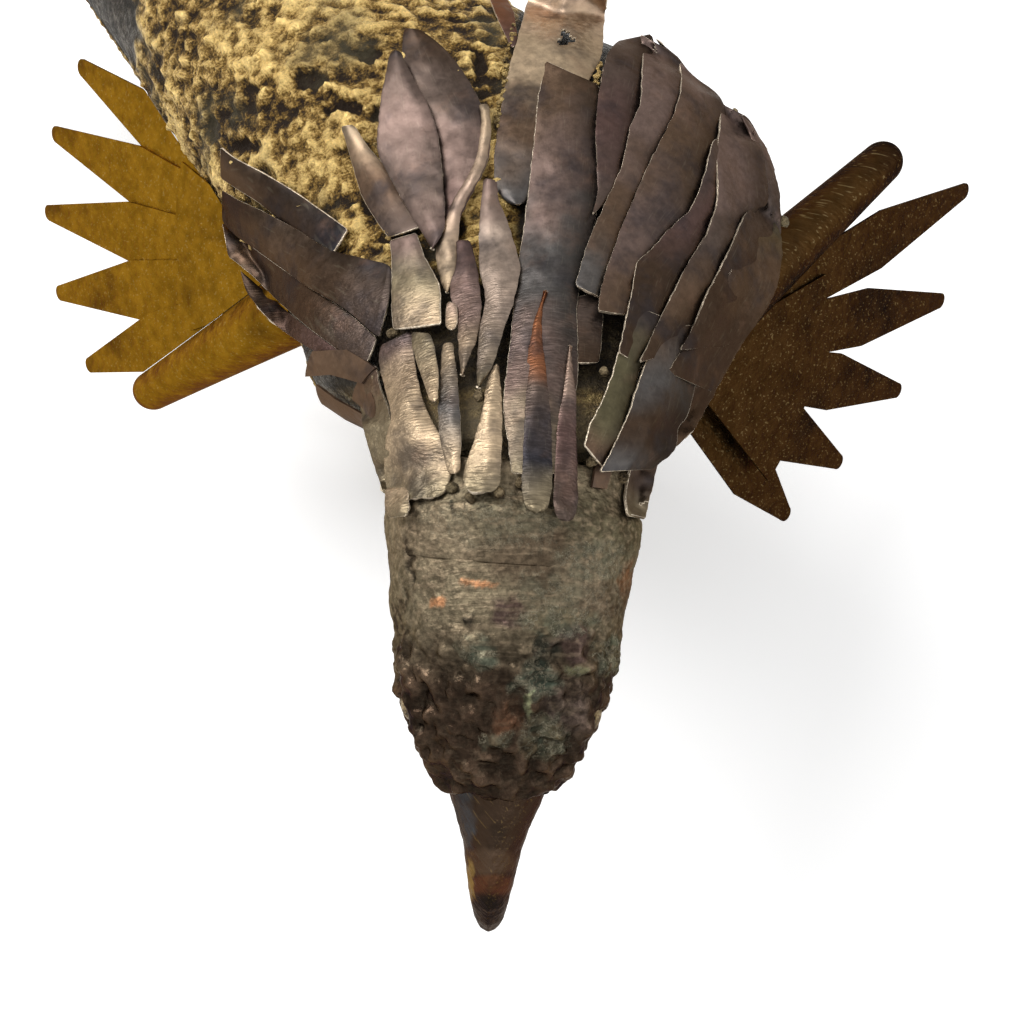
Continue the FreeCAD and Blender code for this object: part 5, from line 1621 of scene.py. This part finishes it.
@dataclass
class NeckCrust:
    """The collar of brazing metal, ground in places, where the strips end on the skull."""

    view: PhotoView
    finishes: Finishes
    head: Head
    middle_mm: Place = (-50.0, -123.0, 277.5)
    yaw: float = math.radians(-24.0)
    pitch: float = math.radians(20.0)
    half_length: float = 15.0 * MM
    rows: int = 56
    columns: int = 330
    cast_from: float = 75.0 * MM
    missed: float = 35.0 * MM
    rounds_over_strips: int = 140
    rounds_at_last: int = 8
    thickness: float = 0.7 * MM
    rise: float = 0.65 * MM
    tucked: float = 0.9 * MM
    wall: float = 0.8 * MM

    def build(self, tree: BVHTree) -> bpy.types.Object:
        """Cast a band over the joint and roughen it.

        Args:
            tree: the search tree of the skull and the neck.

        Returns:
            The piece.
        """
        along = Vector((-math.sin(self.yaw) * math.cos(self.pitch),
                        math.cos(self.yaw) * math.cos(self.pitch), math.sin(self.pitch)))
        side = Vector((math.cos(self.yaw), math.sin(self.yaw), 0.0))
        up = side.cross(along)
        middle = self.view.origin + Vector(self.middle_mm) * MM
        ways = [spoke(side, up, 2 * math.pi * i / self.columns) for i in range(self.columns + 1)]
        centres = [middle + along * (2 * self.half_length * j / self.rows - self.half_length)
                   for j in range(self.rows + 1)]
        smooth = self._smoothed(self._radii(tree, centres, ways))
        work = bmesh.new()
        bmesh.ops.create_grid(work, x_segments=self.columns, y_segments=self.rows, size=1.0)
        tint = work.verts.layers.float_color.new("tint")
        gloss = work.verts.layers.float.new("gloss")
        patina = work.verts.layers.float.new("patina")
        for vert in work.verts:
            i = round((vert.co.x + 1) / 2 * self.columns)
            j = round((vert.co.y + 1) / 2 * self.rows)
            base, way = centres[j], ways[i]
            place = base + way * smooth[j, i]
            swell = math.sin(math.pi * j / self.rows) ** 0.6
            rough = lumps(place, 9.0) * 0.9 + lumps(place, 3.0, 2) * 0.5
            lift = swell * (self.thickness + self.rise * rough) - self.tucked * (1 - swell)
            vert.co = base + way * (smooth[j, i] + lift)
            x, y, _ = self.view.pixel(place)
            shown = max(0.0, way.dot(self.view.back))
            colour, wet, _, vert[patina] = self.head.painted(place, x, y, shown)
            vert[tint], vert[gloss] = (*colour, 1.0), wet
        bmesh.ops.remove_doubles(work, verts=work.verts, dist=2 * SAME_PLACE)
        bmesh.ops.recalc_face_normals(work, faces=work.faces)
        if sum((face.calc_center_median() - middle).dot(face.normal)
               for face in work.faces) < 0:
            bmesh.ops.reverse_faces(work, faces=work.faces)
        piece = piece_from(work, "neck_crust", Slot.BRAZE, self.finishes.skull)
        wall = piece.modifiers.new("crust wall", "SOLIDIFY")
        wall.thickness, wall.offset = self.wall, -1.0
        LOG.info("neck crust with %d faces", len(piece.data.polygons))
        return piece

    def _radii(self, tree: BVHTree, centres: list[Vector], ways: list[Vector]) -> np.ndarray:
        """How far the skin lies from the neck's middle line, by row and column."""
        radii = np.full((len(centres), len(ways)), self.missed)
        for j, centre in enumerate(centres):
            for i, way in enumerate(ways):
                hit = tree.ray_cast(centre + way * self.cast_from, -way, self.cast_from)
                if hit[0] is not None:
                    radii[j, i] = self.cast_from - hit[3]
        return radii

    def _smoothed(self, radii: np.ndarray) -> np.ndarray:
        """Radii evened out, at first never below the skin and then a little freely."""
        smooth = radii.copy()
        for rounds, floor in ((self.rounds_over_strips, radii),
                              (self.rounds_at_last, np.zeros_like(radii))):
            for _ in range(rounds):
                padded = np.pad(smooth, ((1, 1), (0, 0)), mode="edge")
                smooth = np.maximum(floor, (padded[:-2] + padded[2:] + 2 * smooth) / 4)
                ring = smooth[:, :-1]
                ring = (np.roll(ring, 1, 1) + np.roll(ring, -1, 1) + 2 * ring) / 4
                smooth = np.maximum(floor, np.hstack([ring, ring[:, :1]]))
        return smooth


@dataclass
class Beak:
    """The hooked upper beak and the lower one under it."""

    view: PhotoView
    finishes: Finishes
    voxel: float = 0.55 * MM
    dent: float = 0.28 * MM
    sway: float = 5.0
    patches: tuple[Patch, ...] = (
        Patch((461, 822), (11, 34), T.STEEL_BLUE, 0.8),
        Patch((503, 812), (30, 26), T.CHOCOLATE, 0.8),
        Patch((488, 862), (26, 12), T.UMBER, 0.85),
        Patch((492, 885), (24, 9), T.RUST, 0.45),
        Patch((469, 882), (5, 20), T.GOLD, 0.75),
        Patch((487, 918), (22, 22), T.SOOT_AND_SHADE, 0.9),
    )

    def build(self) -> None:
        """Make both halves."""
        for node, name in (("upper_beak", "beak_upper"), ("lower_beak", "beak_lower")):
            work = remeshed(merged_copy(node), self.voxel)
            work.normal_update()
            tint = work.verts.layers.float_color.new("tint")
            moved = []
            for vert in work.verts:
                vert[tint] = (*self._painted(vert.co), 1.0)
                level = self.dent * (lumps(vert.co, 6.0, 2) + 0.4 * lumps(vert.co, 2.0, 1) - 0.3)
                moved.append((vert, vert.co + vert.normal * level))
            for vert, place in moved:
                vert.co = place
            piece = piece_from(work, name, Slot.BRAZE, self.finishes.beak)
            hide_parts(node)
            LOG.info("%s with %d faces", name, len(piece.data.polygons))

    def _painted(self, point: Vector) -> Colour:
        """The tint of a point of the beak."""
        x, y, _ = self.view.pixel(point)
        x += self.sway * lumps(point, 5.0, 2)
        colour = Vector(Tint.CHOCOLATE.value)
        for patch in self.patches:
            colour = colour.lerp(Vector(patch.tint.value), patch.share_at(x, y))
        return tuple(colour)


# ---------------------------------------------------------------- beads, wings, legs


@dataclass
class Beads:
    """Drops of brazing metal that hold the strips' ends to the skin."""

    view: PhotoView
    skin: Skin
    finishes: Finishes
    places: tuple[Row, ...] = (
        (404, 243, 1.8, 2.2), (394, 334, 1.8, 2.2), (400, 505, 2.0, 1.0), (452, 488, 1.8, 1.2),
        (479, 397, 2.2, 2.4), (470, 498, 1.9, 1.4), (499, 492, 1.8, 1.2), (522, 482, 1.8, 1.2),
        (592, 462, 1.6, 1.0), (622, 478, 1.8, 1.0), (783, 222, 2.6, 1.0), (735, 112, 1.6, 0.6),
        (744, 119, 1.4, 0.6), (412, 34, 1.6, 1.4), (378, 376, 1.6, 1.2), (641, 400, 2.0, 1.4),
        (604, 372, 1.7, 1.2),
    )
    seams: tuple[tuple[float, float, float, float, int], ...] = (
        (599, 4, 600, 28, 14), (600, 64, 593, 98, 34), (514, 26, 503, 86, 34),
        (503, 90, 497, 128, 14), (383, 98, 377, 150, 20), (386, 240, 392, 232, 8))
    seed: int = 11
    strewn: float = 1.3
    crumb_reach: tuple[float, float] = (0.5, 1.0)
    crumb_lift: float = 1.7
    lift_range: tuple[float, float] = (0.7, 1.2)
    bulge: float = 0.30
    bulge_size: float = 1.6 * MM
    flatness: float = 0.7

    def _strewn_crumbs(self) -> list[Row]:
        """The crumbs along the brazed seams, each its pixel, radius and lift."""
        draw = random.Random(self.seed)
        crumbs = []
        for x0, y0, x1, y1, count in self.seams:
            for _ in range(count):
                share = draw.random()
                crumbs.append((x0 + (x1 - x0) * share + draw.gauss(0.0, self.strewn),
                               y0 + (y1 - y0) * share + draw.gauss(0.0, self.strewn),
                               draw.uniform(*self.crumb_reach),
                               self.crumb_lift * draw.uniform(*self.lift_range)))
        return crumbs

    def build(self) -> None:
        """Make the dark drops as one piece and the golden crumbs as another."""
        self._pile("braze_beads", self.places, self.finishes.bead)
        self._pile("braze_crumbs", self._strewn_crumbs(), self.finishes.crumb)

    def _pile(self, name: str, places: Sequence[Row], finish: bpy.types.Material) -> None:
        """Make one piece of many drops.

        Args:
            name: the piece's name.
            places: each drop's pixel, radius and lift in millimetres.
            finish: its finish.
        """
        work = bmesh.new()
        for number, (x, y, reach, lift) in enumerate(places):
            depth, _ = self.skin.depth((x, y))
            middle = (self.view.camera_place + self.view.ray((x, y)) * depth
                      + self.view.back * lift * MM)
            ball = bmesh.ops.create_icosphere(work, subdivisions=2, radius=reach * MM)
            seed = Vector((number * 1.3, number * 0.7, 0.0))
            for vert in ball["verts"]:
                bulge = 1.0 + self.bulge * noise.noise(vert.co / self.bulge_size + seed)
                turned = Vector((vert.co.x * (1.0 + 0.3 * math.sin(number)), vert.co.y,
                                 vert.co.z * self.flatness))
                vert.co = middle + turned * bulge
        piece_from(work, name, Slot.BRAZE, finish)
        LOG.info("%s with %d drops", name, len(places))


@dataclass
class Carried:
    """The CAD pieces whose shapes stay, with their finishes."""

    finishes: Finishes

    def dress(self) -> None:
        """Give every carried-over node its finish."""
        rules = (
            # The left wing takes the feather finish darkened as painted shade.
            (("primary_left", "wing_cover_left", "wing_arm_left"), self.finishes.shaded_feather),
            (("primary_right", "wing_cover_right", "wing_arm_right", "tail_feathers"),
             self.finishes.feather),
            (("strips_left_neck", "strips_right_neck", "strips_throat", "strip_"),
             self.finishes.plain_strip),
            (("thigh", "tarsus", "foot", "talons", "eye"), self.finishes.leg),
            (("armature", "neck_bar", "spine_bar", "body_formers", "head_former", "hip_block",
              "leg_rods"), self.finishes.steel),
        )
        for name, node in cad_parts.items():
            finish = next((material for starts, material in rules
                           if name.startswith(starts)), self.finishes.leg)
            node.data.materials.clear()
            node.data.materials.append(finish)


# ---------------------------------------------------------------- studio


@dataclass(frozen=True)
class Lamp:
    """A soft square lamp.

    Its way is its direction in the picture: right, up and towards the camera. It stands at a
    distance from the sculpture's middle, and its power is in watts.
    """

    name: str
    way: Place
    distance: float
    size: float
    power: float


@dataclass
class Studio:
    """Plain floor, white surround and soft lamps."""

    view: PhotoView
    floor_half: float = 3.0
    floor_colour: Colour = (0.92, 0.92, 0.92)
    floor_glow: float = 0.30
    white: Colour = (1.0, 1.0, 1.0)
    surround: float = 0.55
    lamps: tuple[Lamp, ...] = (Lamp("key", (-0.62, 0.62, 0.75), 1.7, 1.1, 27.0),
                               Lamp("fill", (0.9, -0.1, 0.6), 1.9, 1.4, 7.0))

    def build(self) -> None:
        """Make the floor, the world and the lamps."""
        self._floor()
        self._world()
        for lamp in self.lamps:
            self._hang(lamp)
        bpy.context.scene.view_settings.view_transform = "Standard"

    def _hang(self, lamp: Lamp) -> None:
        """Place one lamp so that it faces the sculpture's middle."""
        low, high = (Vector(corner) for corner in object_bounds())
        middle = (low + high) / 2
        right, up, back = lamp.way
        way = (self.view.right * right + self.view.up * up + self.view.back * back).normalized()
        light = bpy.data.lights.new(lamp.name, "AREA")
        light.energy, light.size = lamp.power, lamp.size
        holder = bpy.data.objects.new(lamp.name, light)
        holder.matrix_world = (Matrix.Translation(middle + way * lamp.distance)
                               @ way.to_track_quat("Z", "Y").to_matrix().to_4x4())
        bpy.context.scene.collection.objects.link(holder)

    def _floor(self) -> None:
        """A pale floor that keeps the shadow."""
        work = bmesh.new()
        bmesh.ops.create_grid(work, x_segments=1, y_segments=1, size=self.floor_half)
        floor = placed_object(work, "floor")
        material, board, surface = new_material("pale floor")
        for name, value in (("Base Color", self.floor_colour), ("Roughness", 0.9),
                            ("Specular IOR Level", 0.1), ("Emission Color", self.white)):
            board.feed(surface.inputs[name], value)
        seen = board.node("ShaderNodeLightPath").outputs["Is Camera Ray"]
        board.feed(surface.inputs["Emission Strength"], board.times(seen, self.floor_glow))
        floor.data.materials.append(material)
        floor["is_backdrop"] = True

    def _world(self) -> None:
        """A surround that is white to the eye and in reflections, and dimmer as a light."""
        world = bpy.data.worlds.new("surround")
        world.use_nodes = True
        bpy.context.scene.world = world
        board = Board(world.node_tree)
        ground = world.node_tree.nodes["Background"]
        path = board.node("ShaderNodeLightPath")
        seen = board.sums("MAXIMUM", path.outputs["Is Camera Ray"], board.sums(
            "MAXIMUM", path.outputs["Is Glossy Ray"], path.outputs["Is Transmission Ray"]))
        board.feed(ground.inputs["Color"], self.white)
        board.feed(ground.inputs["Strength"], board.span(seen, 0.0, 1.0, self.surround, 1.0))


def main() -> None:
    """Build the camera, every sub-assembly and the studio, in order."""
    logging.basicConfig(level=logging.INFO, format="%(name)s: %(message)s")
    view = PhotoView()
    view.make_camera()
    finishes = Finishes()
    skin = Skin(view, ["body_shell", "head_shell"])
    Carried(finishes).dress()
    Body(view, finishes).build(Skin(view, ["body_shell"]).tree)
    head = Head(view, finishes)
    head.build()
    crust = NeckCrust(view, finishes, head).build(skin.tree)
    Beak(view, finishes).build()
    skin = Skin(view, ["body_shell", "head_shell"], (crust,))
    Plumage(view, skin, finishes).build()
    Beads(view, skin, finishes).build()
    Studio(view).build()


if __name__ == "__main__":
    main()
